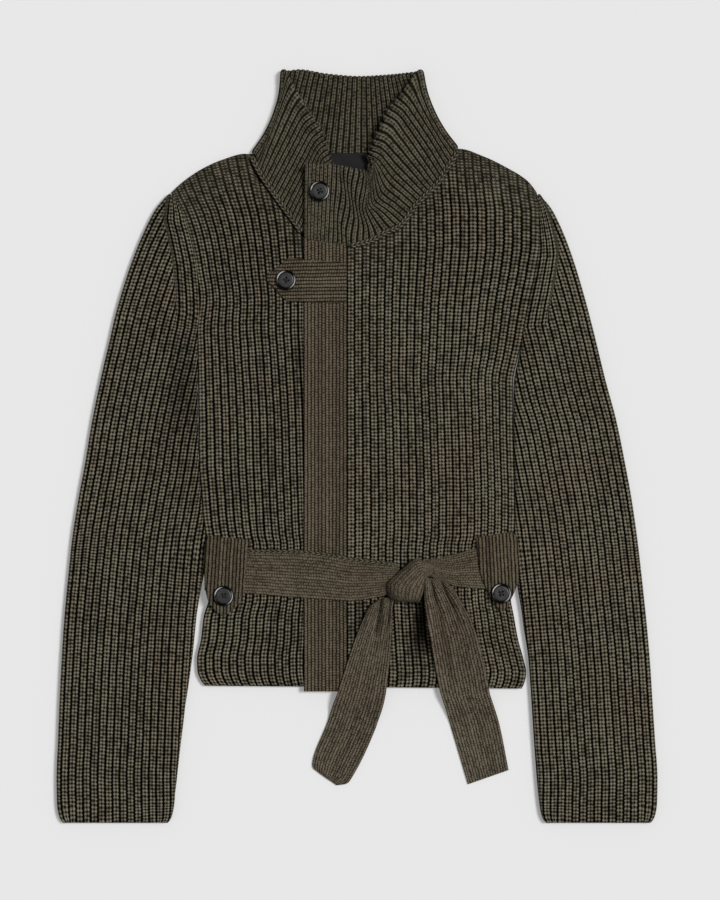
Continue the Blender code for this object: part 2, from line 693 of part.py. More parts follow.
def main():
    """Clear the scene and build every piece."""
    for obj in list(bpy.data.objects):
        bpy.data.objects.remove(obj, do_unlink=True)
    rib = make_material("rib_knit")
    fine = make_material("fine_rib")
    build_back(rib)
    build_front_right(rib)
    build_front_left(rib)
    build_placket(fine)
    build_sleeve("sleeve_right", SLEEVE_RIGHT, 1, rib)
    build_sleeve("sleeve_left", SLEEVE_LEFT, 2, rib)
    build_collar(rib)
    strip("neck_tab", NECK_TAB, BAND_WALL, fine)
    strip("belt_tab_right", BELT_TAB_RIGHT, BAND_WALL, fine)
    strip("belt_tab_left", BELT_TAB_LEFT, BAND_WALL, fine)
    build_belt_band(fine)
    strip("belt_tail_right", BELT_TAIL_RIGHT, BAND_WALL, fine, columns=3)
    strip("belt_tail_left", BELT_TAIL_LEFT, BAND_WALL, fine, columns=3)
    build_knot(fine)
    build_buttons(make_material("button_horn"))
    build_label(make_material("label_cloth"))


main()
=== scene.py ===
"""Ribbed cardigan with a stand collar, buttoned tabs and a tied belt, laid flat, dressed for its picture.

Tables and sizes are in millimetres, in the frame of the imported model: +Z up from the surface that the
garment lies on, +X to the wearer's left sleeve, +Y to the collar. Meshes are written in metres.
"""
import logging
import math
from dataclasses import dataclass
from enum import Enum
from typing import Callable

import bmesh
import bpy
import numpy as np
from mathutils import Matrix, Vector


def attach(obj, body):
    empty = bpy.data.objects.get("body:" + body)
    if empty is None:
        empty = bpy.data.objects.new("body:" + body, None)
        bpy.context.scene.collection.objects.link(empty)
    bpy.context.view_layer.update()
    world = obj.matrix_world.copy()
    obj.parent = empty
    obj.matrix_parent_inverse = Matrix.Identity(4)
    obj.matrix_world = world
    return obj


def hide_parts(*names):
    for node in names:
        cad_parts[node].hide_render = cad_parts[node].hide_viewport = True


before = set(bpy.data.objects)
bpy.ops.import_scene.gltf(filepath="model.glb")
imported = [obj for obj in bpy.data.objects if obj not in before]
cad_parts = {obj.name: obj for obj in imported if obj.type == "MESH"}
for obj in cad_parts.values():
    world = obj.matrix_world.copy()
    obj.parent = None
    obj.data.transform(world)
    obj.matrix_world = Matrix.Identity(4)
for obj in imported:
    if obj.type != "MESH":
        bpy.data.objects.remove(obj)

Array = np.ndarray
Table = tuple[tuple[float, ...], ...]
Colour = tuple[float, float, float]

MM = 0.001
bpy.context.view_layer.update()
LOG = logging.getLogger("cardigan")

RIB_SAMPLES = 8          # lattice columns in one rib
KNIT_MAP = "knit"        # UV map that counts ribs across and stitches along
TONE_AND_PAINTED_LIGHT = "tone_and_painted_light"            # attribute: share by which the yarn is lighter, or darker below 0; mostly painted shade and painted light, and the painted highlights on the button rims
FILL = "fill"            # attribute: share of light stitches in the valleys between the ribs
RIM_PLACES = (0.0, 0.12, 0.35, 0.7, 1.15)    # places over a rounded rim, in rim depths
RIM_REACH = 1.2          # depth of a rim's close places, in rim depths
RIM_LEAST = 0.02         # square of the thickness left at the very rim
LOBE_WIDTH = 0.13        # reach of a chunky rib's valley, in ribs
LOBE_DIP = 0.22          # depth of the dip between its two lobes
DIP_WIDTH = 0.1          # reach of that dip, in ribs
RIDGE_POWER = 3.2        # how flat the crown of a plain rib is
FOLD_CORE = 0.3          # share of a fold's length, either way from its middle, at full height
FOLD_FADE = 0.2          # share of its length over which it fades at each end
KNIT_OVER = (1.15, 0.95)     # relief of a chunky rib's top face: its gain, and what is taken off
KNIT_UNDER = (0.7, 0.7)      # the same for its underside
WHITE = (1.0, 1.0, 1.0, 1.0)


class Side(Enum):
    """Side of the garment, as its wearer would name it: the column of the side tables."""

    RIGHT = 1
    LEFT = 2


def smooth(knots: Array, values: Array, at: Array) -> Array:
    """Read a table along a smooth curve that never swings past its rows.

    Args:
        knots: rising places of the rows.
        values: one value, or one row of values, at each knot.
        at: places to read, of any shape.

    Returns:
        The values there, in the shape of at, with the row's own axis last where it has one.
    """
    knots = np.asarray(knots, dtype=float)
    values = np.asarray(values, dtype=float)
    at = np.asarray(at, dtype=float)
    rows = values.reshape(len(knots), -1)
    step = np.diff(knots)[:, None]
    slope = np.diff(rows, axis=0) / step
    tangent = np.zeros_like(rows)
    before, after = slope[:-1], slope[1:]
    same = before * after > 0.0
    total = np.where(same, before + after, 1.0)
    tangent[1:-1] = np.where(same, 2.0 * before * after / total, 0.0)
    tangent[0], tangent[-1] = slope[0], slope[-1]
    i = np.clip(np.searchsorted(knots, at.ravel(), side="right") - 1, 0, len(step) - 1)
    t = np.clip((at.ravel() - knots[i]) / step[i, 0], 0.0, 1.0)[:, None]
    read = rows[i] * (1.0 + 2.0 * t) * (1.0 - t) ** 2 + rows[i + 1] * t * t * (3.0 - 2.0 * t)
    read = read + step[i] * (tangent[i] * t * (1.0 - t) ** 2 + tangent[i + 1] * t * t * (t - 1.0))
    return read.reshape(at.shape + values.shape[1:])


def run_length(points: Array, axis: int) -> Array:
    """Distance run along one axis of a lattice of points, from its first points."""
    steps = np.linalg.norm(np.diff(points, axis=axis), axis=-1)
    return np.insert(np.cumsum(steps, axis=axis), 0, 0.0, axis=axis)


def ramp(at: Array, start: float, reach: float) -> Array:
    """Straight rise from 0 at start to 1 one reach further on, or before it where reach is negative."""
    return np.clip((at - start) / reach, 0.0, 1.0)


def bell(at: Array, middle: float, reach: float) -> Array:
    """Soft hump of 1 at its middle, by a reach to either side."""
    return np.exp(-(((at - middle) / reach) ** 2))


def stations(length: float, step: float, rim: float) -> Array:
    """Places along a length, set close at both ends to round the rims.

    Args:
        length: full length to cover.
        step: usual distance between places.
        rim: depth of the rounded rim at each end.

    Returns:
        Rising places from 0 to length.
    """
    ends = np.array(RIM_PLACES) * rim
    reach = RIM_REACH * rim
    count = max(2, round((length - 2.0 * reach) / step))
    middle = np.linspace(reach + step * 0.5, length - reach - step * 0.5, count)
    return np.concatenate((ends, middle, length - ends[::-1]))


def facing(middle: Array, closed: bool) -> Array:
    """Unit normals of a lattice of points, from how its neighbours lie.

    Args:
        middle: rows by columns of points.
        closed: whether the last column is the first one again.

    Returns:
        One normal for each point.
    """
    if closed:
        ring = np.concatenate((middle[:, -2:-1], middle, middle[:, 1:2]), axis=1)
        across = (ring[:, 2:] - ring[:, :-2]) / 2.0
    else:
        across = np.gradient(middle, axis=1)
    normal = np.cross(across, np.gradient(middle, axis=0))
    return normal / np.maximum(np.linalg.norm(normal, axis=-1, keepdims=True), 1e-9)


def rib_height(u: Array) -> Array:
    """Height of a chunky two-lobed rib, 0 in the valley and about 1 on its lobes, by its rib count."""
    away = np.abs(u - np.floor(u) - 0.5)
    return 1.0 - np.exp(-(((0.5 - away) / LOBE_WIDTH) ** 2)) - LOBE_DIP * np.exp(-((away / DIP_WIDTH) ** 2))


def ridge_height(u: Array) -> Array:
    """Height of a plain rounded rib, 0 in the valley and 1 on its crown, by its rib count."""
    away = np.abs(u - np.floor(u) - 0.5)
    return 1.0 - (2.0 * away) ** RIDGE_POWER


def painted_shade(points: Array, patches: Table) -> Array:
    """Painted shade in soft patches, and painted light where a patch is negative.

    Args:
        points: lattice of points.
        patches: rows of x, y, reach across, reach along and amount of one patch; a patch of painted light
            is negative.

    Returns:
        The painted shade in the shape of the lattice, less where light is painted.
    """
    dark = np.zeros(points.shape[:2])
    for x, y, across, along, amount in patches:
        aside, ahead = (points[..., 0] - x) / across, (points[..., 1] - y) / along
        dark += amount * np.exp(-(aside ** 2) - ahead ** 2)
    return dark


def pressed(points: Array, folds: Table) -> Array:
    """Height that soft folds add at each point.

    Args:
        points: lattice of points.
        folds: rows of start x and y, end x and y, width and height of one fold; a trough is negative.

    Returns:
        The added height in the shape of the lattice.
    """
    height = np.zeros(points.shape[:-1])
    for x0, y0, x1, y1, width, rise in folds:
        along = np.array([x1 - x0, y1 - y0])
        length = np.hypot(*along)
        along = along / length
        dx, dy = points[..., 0] - x0, points[..., 1] - y0
        ahead = (dx * along[0] + dy * along[1]) / length
        aside = (dx * along[1] - dy * along[0]) / width
        past = np.maximum(np.abs(ahead - 0.5) - FOLD_CORE, 0.0) / FOLD_FADE
        height += rise * np.exp(-(aside ** 2) - past ** 2)
    return height


@dataclass
class Shell:
    """Closed piece of cloth between two lattices of points.

    The lattice is a bmesh grid, joined into a ring where closed, and extruded once: the first face
    takes the points of under, and the extruded one those of over.
    """

    over: Array                      # points of the top face, rows by columns
    under: Array                     # points of the underside
    knit: Array                      # rib and stitch count of each point
    closed: bool = False             # whether the last column is the first one again
    tone_and_painted_light: Array | float = 0.0
    fill: Array | float = 0.0

    def _lattice(self) -> bpy.types.Mesh:
        """Make the extruded grid, with each vertex's row, column and face written on it.

        Returns:
            The mesh, in metres.
        """
        rows, columns = self.over.shape[:2]
        bm = bmesh.new()
        bmesh.ops.create_grid(bm, x_segments=columns - 1, y_segments=rows - 1, size=0.5)
        keys = [bm.verts.layers.int.new(name) for name in ("row", "column", "face")]
        for vert in bm.verts:
            vert[keys[0]] = round((vert.co.y + 0.5) * (rows - 1))
            vert[keys[1]] = round((vert.co.x + 0.5) * (columns - 1))
        if self.closed:
            first = {vert[keys[0]]: vert for vert in bm.verts if vert[keys[1]] == 0}
            last = [vert for vert in bm.verts if vert[keys[1]] == columns - 1]
            bmesh.ops.weld_verts(bm, targetmap={vert: first[vert[keys[0]]] for vert in last})
        grown = bmesh.ops.extrude_face_region(bm, geom=bm.faces[:])
        faces = (self.under * MM, self.over * MM)
        for item in grown["geom"]:
            if isinstance(item, bmesh.types.BMVert):
                item[keys[2]] = 1
        for vert in bm.verts:
            vert.co = faces[vert[keys[2]]][vert[keys[0]], vert[keys[1]]]
        bmesh.ops.recalc_face_normals(bm, faces=bm.faces)
        mesh = bpy.data.meshes.new("cloth")
        bm.to_mesh(mesh)
        bm.free()
        return mesh

    def make(self, name: str, material: bpy.types.Material) -> bpy.types.Object:
        """Make the piece, with its knit count as a UV map.

        Args:
            name: name of the object.
            material: finish of the whole piece.

        Returns:
            The object, linked to the scene.
        """
        mesh = self._lattice()
        keys = []
        for key in ("row", "column"):
            values = np.empty(len(mesh.vertices), dtype=np.int32)
            mesh.attributes[key].data.foreach_get("value", values)
            keys.append(values)
        corner = np.empty(len(mesh.loops), dtype=np.int32)
        mesh.loops.foreach_get("vertex_index", corner)
        row, column = keys[0][corner], keys[1][corner].reshape(-1, 4)
        if self.closed:
            last = self.over.shape[1] - 1
            wraps = np.ptp(column, axis=1) > last // 2
            column = np.where(wraps[:, None] & (column == 0), last, column)
        counts = self.knit[row, column.ravel()]
        mesh.uv_layers.new(name=KNIT_MAP).data.foreach_set("uv", counts.astype(np.float32).ravel())
        for key in ("row", "column", "face"):
            mesh.attributes.remove(mesh.attributes[key])
        for key, values in ((TONE_AND_PAINTED_LIGHT, self.tone_and_painted_light), (FILL, self.fill)):
            shares = np.broadcast_to(values, self.over.shape[:2])[keys[0], keys[1]]
            layer = mesh.attributes.new(name=key, type="FLOAT", domain="POINT")
            layer.data.foreach_set("value", shares.astype(np.float32))
        return add_piece(name, mesh, material)


@dataclass
class Wall:
    """Even wall of knit, given by the middle of its thickness."""

    middle: Array
    thick: Array | float
    knit: Array
    over: Array | float = 0.0        # relief added to the top face
    under: Array | float = 0.0       # relief added to the underside
    closed: bool = False
    rim: float = 0.0                 # depth of the rounded rims, or 0 for half the thickness
    square_start: bool = False       # leaves the first column's edge square
    square_end: bool = False         # leaves the last column's edge square
    tone_and_painted_light: Array | float = 0.0
    fill: Array | float = 0.0

    def shell(self) -> Shell:
        """Offset both faces from the middle and round every free rim.

        Returns:
            The closed piece between the two faces.
        """
        radius = self.rim or np.max(self.thick) / 2.0
        share = np.ones(self.middle.shape[:2])
        for axis in (0,) if self.closed else (0, 1):
            run = run_length(self.middle, axis)
            left = np.take(run, [-1], axis=axis) - run
            if axis == 1 and self.square_start:
                run = left
            if axis == 1 and self.square_end:
                left = run
            near = np.clip(np.minimum(run, left) / radius, 0.0, 1.0)
            share = np.minimum(share, np.sqrt(np.maximum(1.0 - (1.0 - near) ** 2, RIM_LEAST)))
        out = facing(self.middle, self.closed)
        over = self.middle + out * ((self.thick / 2.0 + self.over) * share)[..., None]
        under = self.middle - out * ((self.thick / 2.0 + self.under) * share)[..., None]
        return Shell(over, under, self.knit, self.closed, self.tone_and_painted_light, self.fill)


def add_piece(name: str, mesh: bpy.types.Mesh, material: bpy.types.Material) -> bpy.types.Object:
    """Link a finished mesh as a smooth piece that rides on the garment.

    Args:
        name: name of the object.
        mesh: its mesh, in metres.
        material: finish of the whole mesh.

    Returns:
        The object, linked to the scene.
    """
    mesh.materials.append(material)
    mesh.shade_smooth()
    piece = bpy.data.objects.new(name, mesh)
    bpy.context.scene.collection.objects.link(piece)
    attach(piece, "root")
    LOG.info("%s: %d faces", name, len(mesh.polygons))
    return piece


@dataclass(frozen=True)
class Term:
    """Number in a material's node graph, which sums and products extend with Math nodes."""

    tree: bpy.types.NodeTree
    out: bpy.types.NodeSocket

    def op(self, kind: str, *others: "Term | float") -> "Term":
        """Add one Math node whose first input is this number.

        Args:
            kind: operation of the node.
            others: its other inputs, in order.

        Returns:
            The node's result.
        """
        node = self.tree.nodes.new("ShaderNodeMath")
        node.operation = kind
        for socket, item in zip(node.inputs, (self, *others)):
            if isinstance(item, Term):
                self.tree.links.new(item.out, socket)
            else:
                socket.default_value = item
        return Term(self.tree, node.outputs[0])

    def __add__(self, other: "Term | float") -> "Term":
        """Sum."""
        return self.op("ADD", other)

    def __sub__(self, other: "Term | float") -> "Term":
        """Difference."""
        return self.op("SUBTRACT", other)

    def __mul__(self, other: "Term | float") -> "Term":
        """Product."""
        return self.op("MULTIPLY", other)

    def rest(self) -> "Term":
        """One minus this number."""
        return self.op("MULTIPLY_ADD", -1.0, 1.0)

    def step(self, low: float, high: float) -> "Term":
        """Soft step from 0 below low to 1 above high.

        Args:
            low: number at which the step starts.
            high: number at which it ends.

        Returns:
            The step's height.
        """
        node = self.tree.nodes.new("ShaderNodeMapRange")
        node.interpolation_type = "SMOOTHSTEP"
        self.tree.links.new(self.out, node.inputs[0])
        node.inputs[1].default_value = low
        node.inputs[2].default_value = high
        return Term(self.tree, node.outputs[0])


@dataclass
class Dye:
    """Node graph of one material: its Principled shader and the places that its patterns read."""

    name: str

    def __post_init__(self) -> None:
        """Start the material and its coordinates."""
        self.material = bpy.data.materials.new(self.name)
        self.material.use_nodes = True
        self.tree = self.material.node_tree
        self.shader = self.tree.nodes["Principled BSDF"]
        self.place = self.tree.nodes.new("ShaderNodeTexCoord").outputs["Object"]

    def knit(self) -> tuple[Term, Term]:
        """Read the piece's own map.

        Returns:
            Rib count across and stitch count along.
        """
        node = self.tree.nodes.new("ShaderNodeUVMap")
        node.uv_map = KNIT_MAP
        split = self.tree.nodes.new("ShaderNodeSeparateXYZ")
        self.tree.links.new(node.outputs[0], split.inputs[0])
        return Term(self.tree, split.outputs[0]), Term(self.tree, split.outputs[1])

    def layer(self, name: str) -> Term:
        """Read a number that the piece holds at each point.

        Args:
            name: name of the attribute.

        Returns:
            The number, 0 where the piece holds none.
        """
        node = self.tree.nodes.new("ShaderNodeAttribute")
        node.attribute_name = name
        return Term(self.tree, node.outputs["Fac"])

    def noise(self, scale: float, detail: float = 2.0) -> Term:
        """Soft noise in the piece's own space.

        Args:
            scale: its scale per metre.
            detail: octaves of finer noise.

        Returns:
            A number from 0 to 1, mostly near 0.5.
        """
        node = self.tree.nodes.new("ShaderNodeTexNoise")
        node.inputs["Scale"].default_value = scale
        node.inputs["Detail"].default_value = detail
        self.tree.links.new(self.place, node.inputs["Vector"])
        return Term(self.tree, node.outputs["Fac"])

    def scatter(self, across: Term, along: Term) -> Term:
        """Random number of one stitch.

        Args:
            across: whole count across.
            along: whole count along.

        Returns:
            A number from 0 to 1.
        """
        join = self.tree.nodes.new("ShaderNodeCombineXYZ")
        self.tree.links.new(across.out, join.inputs[0])
        self.tree.links.new(along.out, join.inputs[1])
        node = self.tree.nodes.new("ShaderNodeTexWhiteNoise")
        node.noise_dimensions = "2D"
        self.tree.links.new(join.outputs[0], node.inputs["Vector"])
        return Term(self.tree, node.outputs["Value"])

    def blend(self, share: Term, first: Colour | Term, second: Colour) -> Term:
        """Mix two colours.

        Args:
            share: share of the second colour.
            first: first colour, fixed or mixed before.
            second: second colour.

        Returns:
            The mixed colour.
        """
        node = self.tree.nodes.new("ShaderNodeMix")
        node.data_type = "RGBA"
        self.tree.links.new(share.out, node.inputs[0])
        if isinstance(first, Term):
            self.tree.links.new(first.out, node.inputs[6])
        else:
            node.inputs[6].default_value = (*first, 1.0)
        node.inputs[7].default_value = (*second, 1.0)
        return Term(self.tree, node.outputs[2])

    def relief(self, height: Term, depth: float, strength: float = 1.0) -> None:
        """Drive the shader's normal by a height.

        Args:
            height: height from 0 to about 1.
            depth: what a height of 1 stands for, in millimetres.
            strength: strength of the bump.
        """
        node = self.tree.nodes.new("ShaderNodeBump")
        node.inputs["Strength"].default_value = strength
        node.inputs["Distance"].default_value = depth * MM
        self.tree.links.new(height.out, node.inputs["Height"])
        self.tree.links.new(node.outputs[0], self.shader.inputs["Normal"])

    def paint(self, colour: Term) -> None:
        """Drive the shader's colour."""
        self.tree.links.new(colour.out, self.shader.inputs["Base Color"])

    def set(self, **sockets: float) -> None:
        """Set the shader's own sockets, named with underscores for spaces."""
        for socket, value in sockets.items():
            self.shader.inputs[socket.replace("_", " ")].default_value = value


@dataclass(frozen=True)
class KnitFinish:
    """Dyed yarn in one knit: its colours, with painted shade in the gaps between the strands, and how its
    strands lie across and along each rib.
    """

    name: str
    light: Colour
    brown: Colour
    dark: Colour             # painted shade in the gaps between the strands
    centre: float            # place of the two strands, from the middle of the rib, in ribs
    width: float             # half width of a strand, in ribs
    bead: float              # how far a strand darkens between stitches
    bridge: float            # light of the yarn that joins the two strands
    lean: float              # stitches by which a strand leans over half a rib
    depth: float             # bump of the stitches, in millimetres
    speckle: float = 0.5     # how far single stitches differ
    wander: float = 0.05     # ribs by which a strand strays
    grain: float = 0.3       # how far the fibres differ
    valley: float = 0.1      # light of the stitches between the ribs
    streak: float = 0.2      # how far whole ribs differ
    scallop: float = 0.0     # how far a strand narrows between stitches, in ribs
    stray: tuple[float, float] = (60.0, 420.0)       # scales of the noise that a strand strays by
    row_scale: float = 38.0                          # scale of the noise that bends the rows
    row_bend: float = 0.9                            # stitches by which the rows bend
    rib_shift: float = 0.8                           # most stitches by which two ribs are out of step
    loop: tuple[float, float] = (0.08, 0.44)         # soft edge of one stitch, from its middle
    joint: tuple[float, float] = (0.03, 0.2)         # soft edge of the yarn that joins the strands
    filled: float = 0.7                              # how much darker it is where valleys are full
    hair: float = 1100.0                             # scale of the fibres
    hair_height: float = 0.25
    cloud: tuple[float, float] = (9.0, 0.6)          # scale and depth of the widest change in light
    patch_scale: float = 14.0                        # scale of the browner patches
    patch: tuple[float, float] = (0.4, 0.68)         # soft edge of a browner patch

    def _counts(self, dye: Dye) -> tuple[Term, Term, Term]:
        """Bend the rib and stitch counts of the piece's map a little.

        Args:
            dye: graph of the material.

        Returns:
            Rib count, distance from the rib's middle, and stitch count.
        """
        u, v = dye.knit()
        for scale, detail in zip(self.stray, (2.0, 1.0)):
            u = u + (dye.noise(scale, detail) - 0.5) * (2.0 * self.wander)
        rib = u.op("FLOOR")
        away = (u.op("FRACT") - 0.5).op("ABSOLUTE")
        v = v + (dye.noise(self.row_scale) - 0.5) * self.row_bend + away * self.lean
        return u, away, v + dye.scatter(rib, rib * 0.37) * self.rib_shift

    def material(self) -> bpy.types.Material:
        """Make the material, which reads the rib and stitch counts of the piece's map.

        Returns:
            The material.
        """
        dye = Dye(self.name)
        u, away, v = self._counts(dye)
        rib = u.op("FLOOR")
        stitch = (v.op("FRACT") - 0.5).op("ABSOLUTE").step(*self.loop)
        reach = (away - self.centre).op("ABSOLUTE") + stitch.rest() * self.scallop
        strand = reach.step(self.width * 0.5, self.width).rest()
        fill = dye.layer(FILL)
        lit = (strand * ((stitch - 1.0) * (fill * self.filled + self.bead) + 1.0)).op("MAXIMUM", 0.0)
        lit = lit.op("MAXIMUM", away.step(*self.joint).rest() * stitch * self.bridge)
        lit = lit.op("MAXIMUM", stitch.rest() * (fill + self.valley))
        fibre = dye.noise(self.hair, 3.0)
        height = lit + fibre * self.hair_height
        spot = dye.scatter((u * 2.0).op("FLOOR"), v.op("FLOOR"))
        lit = lit * (spot * self.speckle + (1.0 - self.speckle / 2.0))
        lit = lit * (dye.scatter(rib * 0.61, rib) * self.streak + (1.0 - self.streak / 2.0))
        lit = lit * ((fibre - 0.5) * (2.0 * self.grain) + 1.0)
        lit = lit * ((dye.noise(self.cloud[0]) - 0.5) * self.cloud[1] + 1.0)
        # painted shade and painted light that the piece stores, with the darker knit below the shoulder
        lit = lit * (dye.layer(TONE_AND_PAINTED_LIGHT) + 1.0)
        yarn = dye.blend(dye.noise(self.patch_scale, 3.0).step(*self.patch), self.light, self.brown)
        # where the yarn is unlit, the colour goes to the painted shade of the gaps
        dye.paint(dye.blend(lit.rest().op("MAXIMUM", 0.0), yarn, self.dark))
        dye.relief(height, self.depth)
        dye.set(Roughness=0.95, Sheen_Weight=0.02, Sheen_Roughness=0.5, Specular_IOR_Level=0.02)
        return dye.material


@dataclass(frozen=True)
class ButtonFinish:
    """Dark horn-like resin with faint streaks, a soft gloss and a painted highlight where the stored share
    is 1.
    """

    name: str = "dark_horn"
    base: Colour = (0.021, 0.022, 0.021)
    streak: Colour = (0.038, 0.039, 0.037)
    rough: float = 0.34
    coat: float = 0.03
    gloss: float = 0.25
    painted_highlight: Colour = (0.50, 0.50, 0.49)                # painted highlight, where the rim's stored share is 1
    scales: tuple[float, float, float] = (260.0, 900.0, 500.0)   # noise of streaks, dents and gloss
    edge: tuple[float, float] = (0.42, 0.7)          # soft edge of a streak
    dent: float = 0.03
    uneven: float = 0.16                             # how far the roughness differs

    def material(self) -> bpy.types.Material:
        """Make the material.

        Returns:
            The material.
        """
        dye = Dye(self.name)
        plain = dye.blend(dye.noise(self.scales[0], 4.0).step(*self.edge), self.base, self.streak)
        # the painted highlight on the rim, where the stored share is 1
        dye.paint(dye.blend(dye.layer(TONE_AND_PAINTED_LIGHT), plain, self.painted_highlight))
        dye.relief(dye.noise(self.scales[1]), self.dent, 0.4)
        rough = dye.noise(self.scales[2]) * self.uneven + self.rough
        dye.tree.links.new(rough.out, dye.shader.inputs["Roughness"])
        dye.set(Specular_IOR_Level=self.gloss, Coat_Weight=self.coat, Coat_Roughness=0.16)
        return dye.material


@dataclass(frozen=True)
class LabelFinish:
    """Black satin ribbon, woven fine and left blank."""

    name: str = "black_satin"
    base: Colour = (0.002, 0.002, 0.0025)
    rib: Colour = (0.006, 0.006, 0.007)
    depth: float = 0.08      # bump of the weave, in millimetres

    def material(self) -> bpy.types.Material:
        """Make the material.

        Returns:
            The material.
        """
        dye = Dye(self.name)
        u, v = dye.knit()
        weave = (u.op("FRACT") - 0.5).op("ABSOLUTE") + (v.op("FRACT") - 0.5).op("ABSOLUTE")
        dye.paint(dye.blend(weave, self.base, self.rib))
        dye.relief(weave, self.depth)
        dye.set(Roughness=0.6, Specular_IOR_Level=0.2)
        return dye.material


